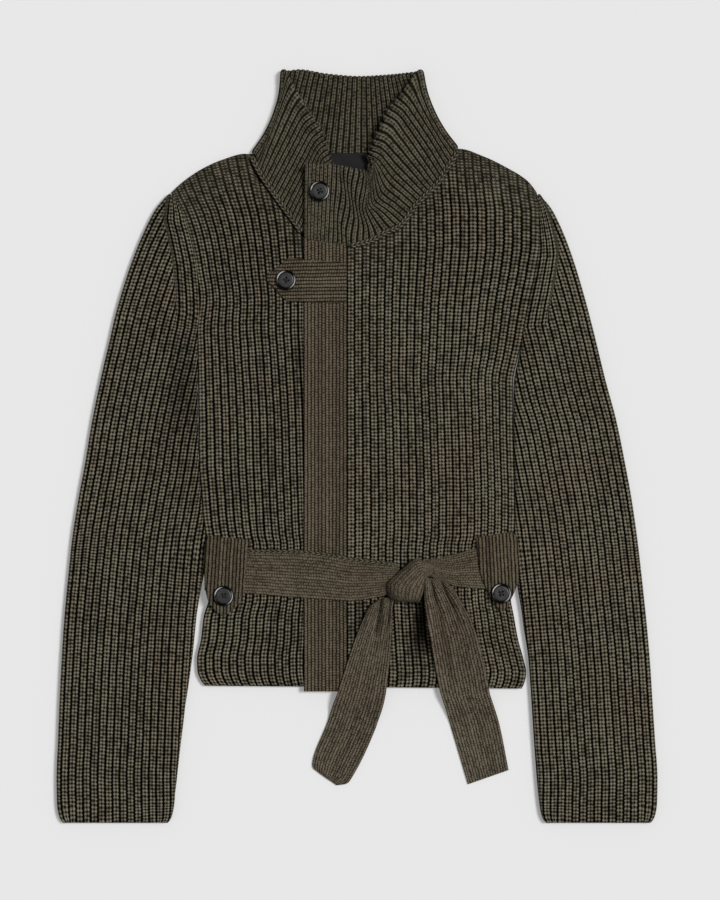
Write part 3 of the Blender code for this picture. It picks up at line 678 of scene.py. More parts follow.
@dataclass
class Body:
    """Back and both fronts: chunky rib panels that share their side edges and armholes."""

    wall: float = 3.4
    gap: float = 0.3
    stitch: float = 3.57             # height of one row of stitches
    belt_lift: Table = ((-168.0, 0.0), (-148.0, 2.5), (-92.0, 2.5), (-72.0, 0.0))
    sides: Table = (
        (-237, -149, 161.5), (-231, -153.5, 164.5), (-222, -156.5, 166), (-210, -157, 163.5),
        (-190, -153, 158), (-168, -150.5, 154), (-148, -145, 150.5), (-119, -145, 150),
        (-97, -145.2, 151.2), (-89, -148, 153.8), (-72, -150.8, 154.6), (-50, -152.7, 154.8),
        (-15, -155, 153.8), (25, -155.5, 153), (60, -156, 153), (95, -156.5, 160),
    )                                # y, x of the right edge and x of the left one
    armhole: Table = (
        (113, -157, 163.5), (143, -154, 169), (172, -158, 175.5), (201, -163.5, 179.5),
        (226, -171.5, 179.5), (248, -182.5, 176.5),
    )
    guide: Table = ((292.0, -201.0, 170.5),)     # where the side edges would run on to
    hem_drop: float = 1.5
    hem_zone: float = 30.0
    shoulder_right: Table = (
        (-182.5, 248), (-167.5, 260), (-148, 272), (-127, 281), (-105, 286.5),
    )
    shoulder_left: Table = ((176.5, 248.0), (167.5, 260.0), (149.0, 272.0), (124.5, 284.0), (101.0, 291.5))
    neck_right: Table = (
        (-98, 271), (-91, 260), (-82, 247), (-73, 234), (-63, 221), (-53, 207.5), (-38, 200),
        (-13.3, 196),
    )
    neck_left: Table = (
        (91, 277), (78.5, 257), (69, 248), (58, 237.5), (41, 215), (26.5, 209), (14.5, 201.5),
        (-9.7, 194.3),
    )
    neck_back: Table = ((-80.0, 279.0), (-45.0, 273.5), (0.0, 272.0), (45.0, 274.0), (80.0, 281.0))
    ribs: tuple[int, int, int] = (43, 20, 23)    # of the back, the right front and the left front
    back_samples: int = 6            # lattice columns in one rib of the hidden back
    climb: tuple[float, ...] = (2.4, 1.2, 0.4)   # the left front's inner edge over the right front
    turn_depth: float = 9.0          # reach of the roll over the shoulder seam
    turn_drop: float = 2.6
    turn_pull: float = 0.8           # how far the stitches are drawn into that roll
    fade_depth: float = 34.0         # reach of the flatter, darker knit below the shoulder
    fade_flat: float = 0.6
    fade_fill: float = 0.22
    fade_dark: tuple[float, float] = (0.43, 1.8)     # amount, and reach in fade depths
    neck_gap: float = 24.0           # distance added where no shoulder seam is above
    neck_margin: float = 4.0
    sway: float = 4.5                # the fronts' ribs swing sideways, one way above sway_at
    sway_at: float = 85.0
    sway_reach: float = 70.0
    folds: Table = (
        (-120, 60, -60, -60, 14, 0.5), (40, 150, 60, -60, 16, 0.6), (110, 100, 90, -70, 12, -0.5),
        (-150, -180, -70, -225, 12, 0.5), (60, -160, 120, -225, 12, 0.6), (-92, -66, -86, -100, 4, 1.3),
        (-101, -72, -99, -98, 3.5, -1.3), (-76, -70, -73, -100, 4.5, -1), (60, -80, 50, -112, 4.5, 1.2),
        (74, -76, 66, -110, 4, -1.2), (96, -70, 100, -100, 4, 1.2), (-100, -146, -96, -176, 4.5, 1.1),
        (-84, -148, -84, -180, 4, -1), (112, -142, 104, -178, 4.5, 1.2), (20, -150, 24, -190, 5, -1),
    )
    # painted shade in soft patches: the shadows between and beside the belt's hanging ends, beside the
    # placket and on the right chest; the negative one is painted light on the left chest
    painted_shade_patches: Table = (
        (61, -180, 9, 32, 0.9), (-58.8, 76, 2.8, 34, 0.5), (-104, 90, 26, 45, 0.13),
        (5, -178, 18, 22, 0.6), (45, -208, 12, 18, 0.25), (4, 30, 18, 120, 0.13), (112, 5, 32, 48, -0.09),
    )

    def side_at(self, y: Array, side: Side) -> Array:
        """X of the body's side edge at each y."""
        table = np.array(self.sides + self.armhole + self.guide)
        return smooth(table[:, 0], table[:, side.value], y)

    def lift_at(self, y: Array) -> Array:
        """Height by which the belt under the back raises the body at each y."""
        table = np.array(self.belt_lift)
        return smooth(table[:, 0], table[:, 1], y)

    def shoulder(self, lattice: Array) -> Array:
        """Distance of each point of a panel from the shoulder seam above it, and more where the neck is.

        Args:
            lattice: points of the panel.

        Returns:
            One distance for each point.
        """
        courses = run_length(lattice, 0)
        outside = np.abs(lattice[-1:, :, 0]) > self.neck_left[0][0] + self.neck_margin
        return courses[-1:] - courses + np.where(outside, 0.0, self.neck_gap)

    def panel(
        self,
        top: Table,
        edges: Callable[[Array], tuple[Array, Array]],
        ribs: int,
        height: float,
        climb: tuple[float, ...] = (),
        samples: int = RIB_SAMPLES,
    ) -> tuple[Array, Array]:
        """Lay out one panel, its columns of points running along the ribs up to the top edge.

        Args:
            top: points of the top edge, in the order of the columns.
            edges: x of both side edges at each y.
            ribs: ribs across the panel.
            height: height of the middle of the wall above the lift.
            climb: extra height at the first points of the top edge.
            samples: lattice columns in one rib.

        Returns:
            The lattice of points, and its rib and stitch counts.
        """
        front = height > self.wall
        points = np.array(top)
        start, end = edges(points[:, 1])
        known = np.clip((points[:, 0] - start) / (end - start), 0.0, 1.0)
        share = np.linspace(0.0, 1.0, ribs * samples + 1)
        y_top = smooth(known, points[:, 1], share)
        rise = smooth(known, np.array(climb + (0.0,) * (len(points) - len(climb))), share)
        hem, tip, split = self.sides[0][0], self.armhole[-1][0], self.armhole[1][0]
        level = hem + stations(tip - hem, self.stitch, self.wall / 2.0)
        y = np.repeat(level[:, None], len(share), axis=1)
        above = np.maximum(level - split, 0.0)[:, None] / (tip - split)
        y = np.where(above > 0.0, split + above * (y_top - split), y)
        start, end = edges(y)
        x = start + (end - start) * share
        if front:
            x = x + self.sway * np.tanh((self.sway_at - y) / self.sway_reach) * 4.0 * share * (1.0 - share)
        fade = np.clip(1.0 - (level - hem) / self.hem_zone, 0.0, 1.0)[:, None]
        y = y - self.hem_drop * fade * x / self.sides[0][2]
        lattice = np.stack((x, y, height + self.lift_at(y) + rise), axis=-1)
        lattice[..., 2] += pressed(lattice, self.folds) * front
        courses = run_length(lattice, 0)
        turn = np.exp(-self.shoulder(lattice) / self.turn_depth)
        lattice[..., 2] -= turn * self.turn_drop * front
        courses = (courses + turn * self.turn_depth * self.turn_pull) / self.stitch
        return lattice, np.stack((np.broadcast_to(share * ribs, x.shape), courses), axis=-1)

    def layouts(self) -> dict[str, tuple[Array, Array]]:
        """Lay out the three panels.

        Returns:
            The lattice of points and its counts, by the name of the piece.
        """
        above = self.wall * 1.5 + self.gap
        inner_right, inner_left = self.neck_right[-1][0], self.neck_left[-1][0]
        back, right, left = self.ribs
        return {
            "back_panel": self.panel(
                self.shoulder_right + self.neck_back + self.shoulder_left[::-1],
                lambda y: (self.side_at(y, Side.RIGHT), self.side_at(y, Side.LEFT)), back, self.wall / 2.0,
                samples=self.back_samples),
            "right_front_panel": self.panel(
                self.shoulder_right + self.neck_right,
                lambda y: (self.side_at(y, Side.RIGHT), np.full_like(y, inner_right)), right, above),
            "left_front_panel": self.panel(
                (self.shoulder_left + self.neck_left)[::-1],
                lambda y: (np.full_like(y, inner_left), self.side_at(y, Side.LEFT)), left, above,
                self.climb),
        }

    def build(self, knit: bpy.types.Material) -> None:
        """Args:
            knit: finish of the chunky rib.
        """
        for name, (middle, counts) in self.layouts().items():
            profile = rib_height(counts[..., 0])
            below = self.shoulder(middle)
            fade = np.exp(-((below / self.fade_depth) ** 2))
            dark = self.fade_dark[0] * np.exp(-below / (self.fade_dark[1] * self.fade_depth))
            over = (KNIT_OVER[0] * profile - KNIT_OVER[1]) * (1.0 - self.fade_flat * fade)
            # tone: darker knit below the shoulder, and the painted shade and painted light of the patches
            wall = Wall(middle, self.wall, counts, over=over, under=KNIT_UNDER[0] * profile - KNIT_UNDER[1],
                        square_start=name == "left_front_panel", tone_and_painted_light=-dark - painted_shade(middle, self.painted_shade_patches),
                        fill=self.fade_fill * fade)
            wall.shell().make(name, knit)
        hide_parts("back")
        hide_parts("front_right")
        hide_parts("front_left")


@dataclass
class Sleeve:
    """Flattened rib tube from its open cuff to the armhole."""

    name: str
    node: str
    side: Side
    sections: Table                  # x and y of the outer edge, and of the inner one, from the cuff up
    # painted shade in soft patches; a negative one is painted light
    painted_shade_patches: Table
    height: float = 8.2              # outside height of the flattened tube
    wall: float = 3.4
    pitch: float = 7.15              # width of one rib
    stitch: float = 3.57             # height of one row of stitches
    underarm: float = 113.0          # y of the inner edge where the cap starts
    border: float = 24.0             # cloth at the armhole that keeps its ribs when the cap narrows
    crush: float = 2.5               # least width that the closed ribs beside it keep
    cuff: float = -350.0             # y below which the cuff's corners round off
    corner: float = 15.0             # cloth beside an edge that gives way to its corner
    corner_rows: int = 6             # rows above the cuff that tell how its edges run straight
    snug: tuple[float, float] = (1.4, 2.4)       # how far the inner edge is drawn in, and more at the waist
    snug_from: tuple[float, float] = (-165.0, 20.0)  # y where that starts, and its reach
    waist: tuple[float, float] = (-110.0, 24.0)      # y of the waist, and its reach
    under_columns: int = 14          # lattice columns across the underside
    turn_columns: int = 4            # lattice columns round the outer edge's lower quarter
    under_relief: float = 0.8        # even height of the ribs on the underside

    def gathered(self, run: Array, full: Array, girth: Array) -> Array:
        """Close the ribs up at a mitre beside the armhole, where the cap narrows.

        Args:
            run: distance round the full tube from the outer edge, over the top first.
            full: girth of the tube below the cap, for each row.
            girth: girth of the cap, for each row.

        Returns:
            Distance round the narrowed tube.
        """
        whole, half = full / 2.0, girth / 2.0
        border = np.minimum(self.border, 0.6 * half)
        mitre = whole - self.border
        start = np.minimum(np.maximum(half - border - self.crush, 0.2 * half), mitre)
        crushed = start + (run - start) * (half - border - start) / np.maximum(mitre - start, 0.01)
        edge = half + (run - whole) * border / self.border
        under = half + (run - whole) * (girth - half) / (full - whole)
        zones = [run <= start, run <= mitre, run <= whole]
        return np.select(zones, [run, np.minimum(crushed, half - border), edge], under)

    def lost(self, edge: Array, places: Array, unit: Array, first: int) -> Array:
        """Distance by which the cuff's rounded corner leaves the straight line of an edge.

        Args:
            edge: points of the edge, row by row.
            places: distance of each row from the cuff.
            unit: direction from the edge into the sleeve, for each row.
            first: first row above the corner.

        Returns:
            One distance for each row, 0 above the corner.
        """
        ahead = edge[first + self.corner_rows] - edge[first]
        straight = edge[first] + ahead / np.linalg.norm(ahead) * (places - places[first])[:, None]
        away = ((edge - straight) * unit).sum(axis=1)
        return np.where(np.arange(len(places)) < first, np.clip(away, 0.0, 0.8 * self.corner), 0.0)

    def ring(self, run: Array, width: Array) -> tuple[Array, Array]:
        """Place the middle of the wall round a flattened section.

        Args:
            run: distance round the outside from the outer edge, over the top first.
            width: width of the flattened section, broadcast with run.

        Returns:
            Distance in from the outer edge, and height.
        """
        outer = self.height / 2.0
        inner = outer - self.wall / 2.0
        quarter, flat = math.pi * outer / 2.0, width - 2.0 * outer
        turn = (run - quarter - flat) / outer
        last = (run - 3.0 * quarter - 2.0 * flat) / outer
        ends = (quarter, quarter + flat, 3.0 * quarter + flat, 3.0 * quarter + 2.0 * flat)
        zones = [run < end for end in ends]
        inward = np.select(zones, [
            outer - inner * np.cos(run / outer),
            outer + run - quarter,
            width - outer + inner * np.sin(turn),
            width - outer - (run - 3.0 * quarter - flat),
        ], outer - inner * np.sin(last))
        height = np.select(zones, [
            outer + inner * np.sin(run / outer),
            np.full_like(inward, outer + inner),
            outer + inner * np.cos(turn),
            np.full_like(inward, outer - inner),
        ], outer - inner * np.cos(last))
        return inward, height

    def outline(self) -> tuple[Array, Array, Array, Array]:
        """Lay out the rows of the flattened tube, from the cuff to the cap.

        Returns:
            For each row: its distance from the cuff, the point of its outer edge, the way across to its
            inner edge, and the inner edge's y.
        """
        table = np.array(self.sections)
        edge = run_length(table[:, :2], 0)
        places = stations(edge[-1], self.stitch, self.wall / 2.0)
        section = smooth(edge, table, places)
        outer, across = section[:, :2], section[:, 2:4] - section[:, :2]
        inner_y = section[:, 3]
        snug = ramp(inner_y, *self.snug_from) * (self.snug[0] + self.snug[1] * bell(inner_y, *self.waist))
        across[:, 0] += snug if self.side is Side.RIGHT else -snug
        return places, outer, across, inner_y

    def widths(self, places: Array, outer: Array, across: Array, first: int) -> tuple[Array, Array, Array]:
        """Measure the flattened tube square to its ribs, as if the cuff had no corners.

        Args:
            places: distance of each row from the cuff.
            outer: points of the outer edge.
            across: the way across to the inner edge.
            first: first row above the cuff's corners.

        Returns:
            For each row: its width, and what each corner takes from it at the outer and inner edge.
        """
        along = np.gradient(outer, places, axis=0)
        along /= np.linalg.norm(along, axis=1, keepdims=True)
        width = np.abs(along[:, 0] * across[:, 1] - along[:, 1] * across[:, 0])
        width = np.maximum(width, self.height + 0.2)
        straight = np.linalg.norm(across, axis=1)
        unit = across / straight[:, None]
        near = self.lost(outer, places, unit, first)
        far = self.lost(outer + across, places, -unit, first)
        width = np.where(np.arange(len(places)) < first, straight + near + far, width)
        return width[:, None], near[:, None], far[:, None]

    def build(self, knit: bpy.types.Material) -> None:
        """Args:
            knit: finish of the chunky rib.
        """
        places, outer, across, inner_y = self.outline()
        first, cap = np.searchsorted(inner_y, (self.cuff, self.underarm))
        width, near, far = self.widths(places, outer, across, int(first))
        half = self.height / 2.0
        quarter = math.pi * half / 2.0
        girth = 2.0 * (width - 2.0 * half) + 4.0 * quarter
        full = np.where(np.arange(len(girth))[:, None] < cap, girth, girth[cap])
        dense = np.arange(0.0, width.max() + 5.0, self.pitch / RIB_SAMPLES)
        last = dense[-1]
        spread = np.linspace(0.0, 1.0, self.under_columns + 2)[1:]
        loose = last + (full - quarter - last) * spread
        turned = full - quarter * np.linspace(0.75, 0.0, self.turn_columns)
        run = np.concatenate((np.broadcast_to(dense, (len(places), len(dense))), loose, turned), axis=1)
        placed = self.gathered(run, full, girth)
        squeeze = np.clip(np.gradient(placed, axis=1) / np.gradient(run, axis=1), 0.0, 1.0)
        inward, height = self.ring(placed, width)
        inward = np.select([inward < self.corner, inward > width - self.corner], [
            inward * (1.0 - near / self.corner),
            width - near - far - (width - inward) * (1.0 - far / self.corner),
        ], inward - near)
        share = inward / (width - near - far)
        flat = outer[:, None] + across[:, None] * share[..., None]
        middle = np.concatenate((flat, height[..., None]), axis=-1)
        tail = np.clip((run - last) / (full - last), 0.0, 1.0)
        counts = run / self.pitch + (np.round(full / self.pitch) - full / self.pitch) * tail
        profile = np.where(run <= last, rib_height(counts), self.under_relief)
        spine = outer + across / 2.0
        ahead = np.gradient(spine, axis=0)
        ahead /= np.linalg.norm(ahead, axis=1, keepdims=True)
        lead = ((flat - spine[:, None]) * ahead[:, None]).sum(axis=-1)
        courses = (run_length(spine, 0)[:, None] + lead) / self.stitch
        relief = (KNIT_OVER[0] * profile - KNIT_OVER[1]) * squeeze
        # tone: the painted shade and painted light of the patches
        wall = Wall(middle, self.wall, np.stack((counts, courses), axis=-1), over=relief, closed=True,
                    tone_and_painted_light=-painted_shade(middle, self.painted_shade_patches))
        piece = wall.shell().make(self.name, knit)
        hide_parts(self.node)


@dataclass
class Collar:
    """Stand collar: one ribbed ribbon from its left end over the front and round the back."""

    wall: float = 4.5
    front: Table = (
        (-52, 201, -51.5, 272.5, 10.3, 14.4), (-48.5, 200.5, -47, 276.5, 10.3, 14.6),
        (-31, 198.2, -27, 275.3, 10.3, 14.6), (-7, 195.2, -5, 271.5, 9.9, 13.8),
        (14.5, 201.5, 9, 269, 8.4, 12.6, -5), (26.5, 209, 12, 270.5, 7, 12, -11),
        (41, 215, 13, 276, 6.4, 11.5, -14), (58, 237.5, 13.5, 287, 6.3, 11, -4),
        (69, 248, 18, 303, 6.3, 10.8), (78.5, 257, 29, 326, 6.6, 10.5), (91, 277, 46, 349, 7.75, 9.6),
    )
    fold_left: tuple[float, ...] = (101.0, 291.5, 64.5, 370.0)
    back: Table = (
        (80, 281, 50, 366.5, 2.25, 2.25), (45, 274, 30, 364.5, 2.25, 2.25), (0, 272, 2, 363, 2.25, 2.25),
        (-45, 273.5, -30, 365.5, 2.25, 2.25), (-80, 279, -57, 369.6, 2.25, 2.25),
    )
    fold_right: tuple[float, ...] = (-105.0, 286.5, -74.5, 370.0)
    flap: Table = (
        (-98, 271, -64.5, 357, 7.75, 9.4), (-91, 260, -53, 337.5, 6.8, 10.5),
        (-82, 247, -43, 321, 6.3, 10.5), (-73, 234, -35, 307, 6.2, 10.3),
        (-63, 221, -30.5, 292.5, 6.2, 10.1), (-53, 207.5, -24, 277, 6.2, 9.8),
        (-38, 200, -13, 270, 6.2, 9.2),
    )
    bow_left: float = 6.5            # how far each side fold bows out
    bow_right: float = 7.5
    fold_radius: float = 2.75
    fold_steps: int = 8
    control: int = 5                 # points in one section
    start: float = 0.6               # distance of a section's first point from the neck seam
    fine_end: float = 25.0           # run of the finer ribs at the left end
    pitches: tuple[float, ...] = (3.5, 5.1, 5.9, 5.1)    # rib widths: fine end, front, back and flap
    row: float = 2.4                 # distance between lattice points up the collar
    stitch: float = 3.4
    fine_relief: float = 0.25        # least share of the relief, in the finer ribs
    tip: float = 4.0                 # reach of the scalloped top edge
    tip_rows: int = 7
    puff: float = 2.8                # how much thicker the top edge is
    puff_at: tuple[float, float] = (3.0, 8.0)        # distance from the top edge, and reach
    thin: float = 2.2                # how much thinner the neck seam is
    thin_reach: float = 5.0
    roll: float = 6.5
    rolls: Table = ((1.0, 0.79, 0.99), (-1.0, 0.17, 0.37))   # direction, start and end of each
    roll_fades: tuple[float, float] = (0.06, 0.05)
    roll_reach: float = 16.0         # from the top edge
    wave: float = 1.7                # waves of the front under its button
    wave_at: tuple[float, float] = (48.0, 24.0)      # their middle along the run, and their reach
    wave_from: tuple[float, float] = (22.0, 12.0)    # where they start along the run
    wave_long: float = 8.0
    wave_turn: float = 0.9
    wave_rise: float = 15.0          # distance from the neck seam at which they are full
    relief: tuple[float, float] = (1.5, 1.3)         # relief of the ribs: gain, and what is taken off
    front_relief: float = 1.4        # how much more the waved front has
    rim: float = 0.85                # depth of the rounded rims, in wall thicknesses
    raised: tuple[float, float] = (4.0, 5.0)         # height above which the collar is its upper layer
    seam_raised: tuple[float, float] = (7.5, 2.5)    # the same for the neck seam
    painted_bright: tuple[float, float, float] = (0.28, 72.0, -20.0)     # painted light on the front: amount, end and fade
    dim: tuple[float, float] = (0.16, 1.5)           # painted shade on the lower layer: amount and gain

    def section_row(
        self, section: tuple[float, ...], shift: float = 0.0, bow: float = 0.0, crease: float = 0.0
    ) -> Array:
        """Lay out the points of one section from the neck seam to the top edge.

        Args:
            section: x and y at the seam and at the top edge, and the height of each.
            shift: distance by which the whole section moves sideways.
            bow: sideways bow of its middle.
            crease: sideways crease of its middle.

        Returns:
            The points.
        """
        x0, y0, x1, y1, z0, z1 = section
        along = np.array([x1 - x0, y1 - y0])
        length = np.hypot(*along)
        share = np.linspace(self.start / length, 1.0, self.control)[:, None]
        right = np.array([along[1], -along[0]]) / length
        bend = bow * 4.0 * share * (1.0 - share) + crease * (1.0 - np.abs(2.0 * share - 1.0))
        flat = np.array([x0, y0]) + along * share + right * (shift + bend)
        return np.concatenate((flat, z0 + (z1 - z0) * share), axis=1)

    def fold_rows(self, line: tuple[float, ...], outward: float, bow: float) -> list[Array]:
        """Lay out the rows round one side fold, from the upper layer to the lower one.

        Args:
            line: x and y at the seam and at the top edge.
            outward: 1 where the fold faces +X, -1 where it faces -X.
            bow: how far the fold bows out.

        Returns:
            The points of each row.
        """
        reach = self.fold_radius + self.wall / 2.0
        rows = []
        for step in range(self.fold_steps + 1):
            angle = math.pi * step / self.fold_steps
            shift = outward * (self.fold_radius * math.sin(angle) - reach)
            height = reach + self.fold_radius * math.cos(angle)
            rows.append(self.section_row((*line, height, height), shift, -outward * bow))
        return rows

    def layout(self) -> tuple[Array, Array, float, Array, int]:
        """Loft the ribbon through its sections.

        Returns:
            Lattice of points, run of each column of ribs, whole run, rib count of each, and ribs in the
            fine end.
        """
        rows = [self.section_row(section[:6], crease=sum(section[6:])) for section in self.front]
        rows += self.fold_rows(self.fold_left, 1.0, self.bow_left)
        first_back = len(rows) - 1
        rows += [self.section_row(section) for section in self.back]
        last_back = len(rows)
        rows += self.fold_rows(self.fold_right, -1.0, self.bow_right)[::-1]
        rows += [self.section_row(section) for section in self.flap]
        known = np.array(rows)
        along = run_length(known, 0)[:, :3].mean(axis=1)
        ends = np.array([0.0, self.fine_end, along[first_back], along[last_back], along[-1]])
        knots = np.concatenate(([0.0], np.cumsum(np.round(np.diff(ends) / np.array(self.pitches)))))
        counts = np.arange(int(knots[-1]) * RIB_SAMPLES + 1) / RIB_SAMPLES
        place = smooth(knots, ends, counts)
        return smooth(along, known, place), place, along[-1], counts, int(knots[1])

    def sideways(self, place: Array, share: Array, counts: Array, across: Array, high: float) -> Array:
        """Distance by which the rolls and waves push each point along the ribbon.

        Args:
            place: run of each row, as a column.
            share: the same in shares of the whole run.
            counts: rib count of each row, as a column.
            across: share of each column's way from the seam to the top edge.
            high: height of the ribbon.

        Returns:
            One distance for each point.
        """
        from_top, from_seam = (1.0 - across) * high, across * high
        roll = np.zeros_like(share)
        rise, fall = self.roll_fades
        for way, start, end in self.rolls:
            roll = roll + way * self.roll * ramp(share, start, rise) * ramp(share, end, -fall)
        wave = self.wave * self.waved(place) * np.sin(from_seam / self.wave_long + counts * self.wave_turn)
        wave = wave * ramp(from_seam, 0.0, self.wave_rise)
        return roll * ramp(from_top, self.roll_reach, -self.roll_reach) ** 2 + wave

    def waved(self, place: Array) -> Array:
        """Share of the front's waves at a run along the ribbon."""
        return bell(place, *self.wave_at) * ramp(place, *self.wave_from)

    def build(self, knit: bpy.types.Material, seams: list[bpy.types.Object]) -> None:
        """Args:
            knit: finish of the collar's rib.
            seams: the seam chains that go with it; not used.
        """
        middle, place, whole, counts, fine_ribs = self.layout()
        place, counts = place[:, None], counts[:, None]
        high = np.linalg.norm(middle[0, -1] - middle[0, 0])
        across = stations(high, self.row, self.wall / 2.0) / high
        columns = middle.transpose(1, 0, 2)
        middle = smooth(np.linspace(0.0, 1.0, self.control), columns, across).transpose(1, 0, 2)
        coarse = np.clip((counts - fine_ribs + 1.0) / 2.0, self.fine_relief, 1.0)
        profile = ridge_height(counts) * np.ones(len(across))
        tip = middle[:, -1:] - middle[:, -1 - self.tip_rows:-self.tip_rows]
        tip /= np.linalg.norm(tip, axis=-1, keepdims=True)
        from_top, from_seam = (1.0 - across) * high, across * high
        near_top = np.clip(1.0 - from_top / self.tip, 0.0, 1.0) ** 0.5
        middle = middle + tip * ((profile - 1.0) * coarse * near_top)[..., None]
        ahead = np.gradient(middle, axis=0)
        ahead /= np.maximum(np.linalg.norm(ahead, axis=-1, keepdims=True), 1e-9)
        ahead[..., 2] = 0.0
        middle = middle + ahead * self.sideways(place, place / whole, counts, across, high)[..., None]
        courses = run_length(middle, 1) / self.stitch
        knit_map = np.stack((np.broadcast_to(counts, profile.shape), courses), axis=-1)
        front = self.waved(place)
        relief = (self.relief[0] * profile - self.relief[1]) * coarse * (1.0 + self.front_relief * front)
        base, reach = self.raised
        upper = np.clip((middle[:, -1:, 2] - base) / reach, 0.25, 1.0)
        inset, reach = self.puff_at
        puff = self.puff * upper * np.exp(-((np.maximum(from_top - inset, 0.0) / reach) ** 2))
        thin = self.thin * bell(from_seam, 0.0, self.thin_reach) * ramp(middle[:, :1, 2], *self.seam_raised)
        middle[..., 2] += (puff - thin) / 2.0
        # painted light on the front, and painted shade where the collar lies lower
        amount, gain = self.dim
        tone_and_painted_light = self.painted_bright[0] * ramp(place, *self.painted_bright[1:])
        tone_and_painted_light = tone_and_painted_light - amount * np.clip(gain - upper * gain, 0.0, 1.0)
        wall = Wall(middle, self.wall + puff - thin, knit_map, over=relief, under=relief,
                    rim=self.wall * self.rim, tone_and_painted_light=tone_and_painted_light)
        piece = wall.shell().make("stand_collar", knit)
        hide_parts("collar")


@dataclass
class Strip:
    """Flat band of fine rib with shaped ends."""

    name: str
    node: str
    rows: Table                      # x and y of one edge and of the other, and the underside's height
    rests_on: tuple[str, ...]
    wall: float = 2.2
    pitch: float = 3.45              # width of one rib
    stitch: float = 2.6              # height of one row of stitches
    column: float = 0.6              # distance between lattice points across
    grain: tuple[float, float] | None = None     # direction of the ribs, where they don't follow the band
    folds: Table = ()
    relief: float = 0.22
    level: float = 0.8               # height of a rib that adds nothing to the wall
    square_end: bool = False
    # painted shade on the whole band where negative
    tone_and_painted_light: float = 0.0

    def _counts(self, middle: Array, share: Array, width: float) -> Array:
        """Count ribs and stitches along the band, or along its grain.

        Args:
            middle: lattice of points.
            share: share of the width at each column.
            width: greatest width of the band.

        Returns:
            Rib and stitch count of each point.
        """
        if self.grain is None:
            ribs = np.broadcast_to(share * round(width / self.pitch), middle.shape[:2])
            return np.stack((ribs, run_length(middle, 0) / self.stitch), axis=-1)
        gx, gy = np.array(self.grain) / np.hypot(*self.grain)
        aside = middle[..., 0] * gy - middle[..., 1] * gx
        ahead = middle[..., 0] * gx + middle[..., 1] * gy
        return np.stack((aside / self.pitch, ahead / self.stitch), axis=-1)

    def build(self, knit: bpy.types.Material) -> None:
        """Args:
            knit: finish of its rib.
        """
        table = np.array(self.rows)
        along = run_length((table[:, 0:2] + table[:, 2:4]) / 2.0, 0)
        section = smooth(along, table, stations(along[-1], self.stitch, self.wall / 2.0))
        width = np.hypot(table[:, 2] - table[:, 0], table[:, 3] - table[:, 1]).max()
        columns = max(12, round(width / self.column))
        share = np.linspace(0.0, 1.0, columns + 1)[:, None]
        flat = section[:, None, 0:2] * (1.0 - share) + section[:, None, 2:4] * share
        z = np.repeat(section[:, 4:5], columns + 1, axis=1) + self.wall / 2.0
        middle = np.concatenate((flat, z[..., None]), axis=-1)
        middle[..., 2] += pressed(middle, self.folds)
        counts = self._counts(middle, share[:, 0], width)
        relief = self.relief * (ridge_height(counts[..., 0]) - self.level)
        wall = Wall(middle, self.wall, counts, over=relief, under=relief, square_end=self.square_end,
                    tone_and_painted_light=self.tone_and_painted_light)
        piece = wall.shell().make(self.name, knit)
        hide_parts(self.node)
        across = np.hypot(section[:, 2] - section[:, 0], section[:, 3] - section[:, 1])
        shown = float(np.trapz(across, run_length((section[:, 0:2] + section[:, 2:4]) / 2.0, 0)))


@dataclass
class Placket(Strip):
    """Straight fine rib band on the left front's edge, from the hem to the collar."""

    body: Body | None = None
    edges: tuple[float, float] = (-52.0, -10.0)
    top: tuple[float, float] = (205.5, 200.0)        # y of the slanted top end, at either edge

    def build(self, knit: bpy.types.Material) -> None:
        """Lay the band over the right front, lifted where the belt lifts the body.

        Args:
            knit: finish of its rib.
        """
        base = 2.0 * (self.body.wall + self.body.gap)
        left, right = self.edges
        levels = (-241.0, -225.0, -200.0, *np.arange(-185.0, -50.0, 8.0), 0.0, 60.0, 140.0, 190.0)
        rows = [(left, y, right, y, base + float(self.body.lift_at(np.array(y)))) for y in levels]
        rows.append((left, self.top[0], right, self.top[1], base))
        self.rows = tuple(rows)
        super().build(knit)


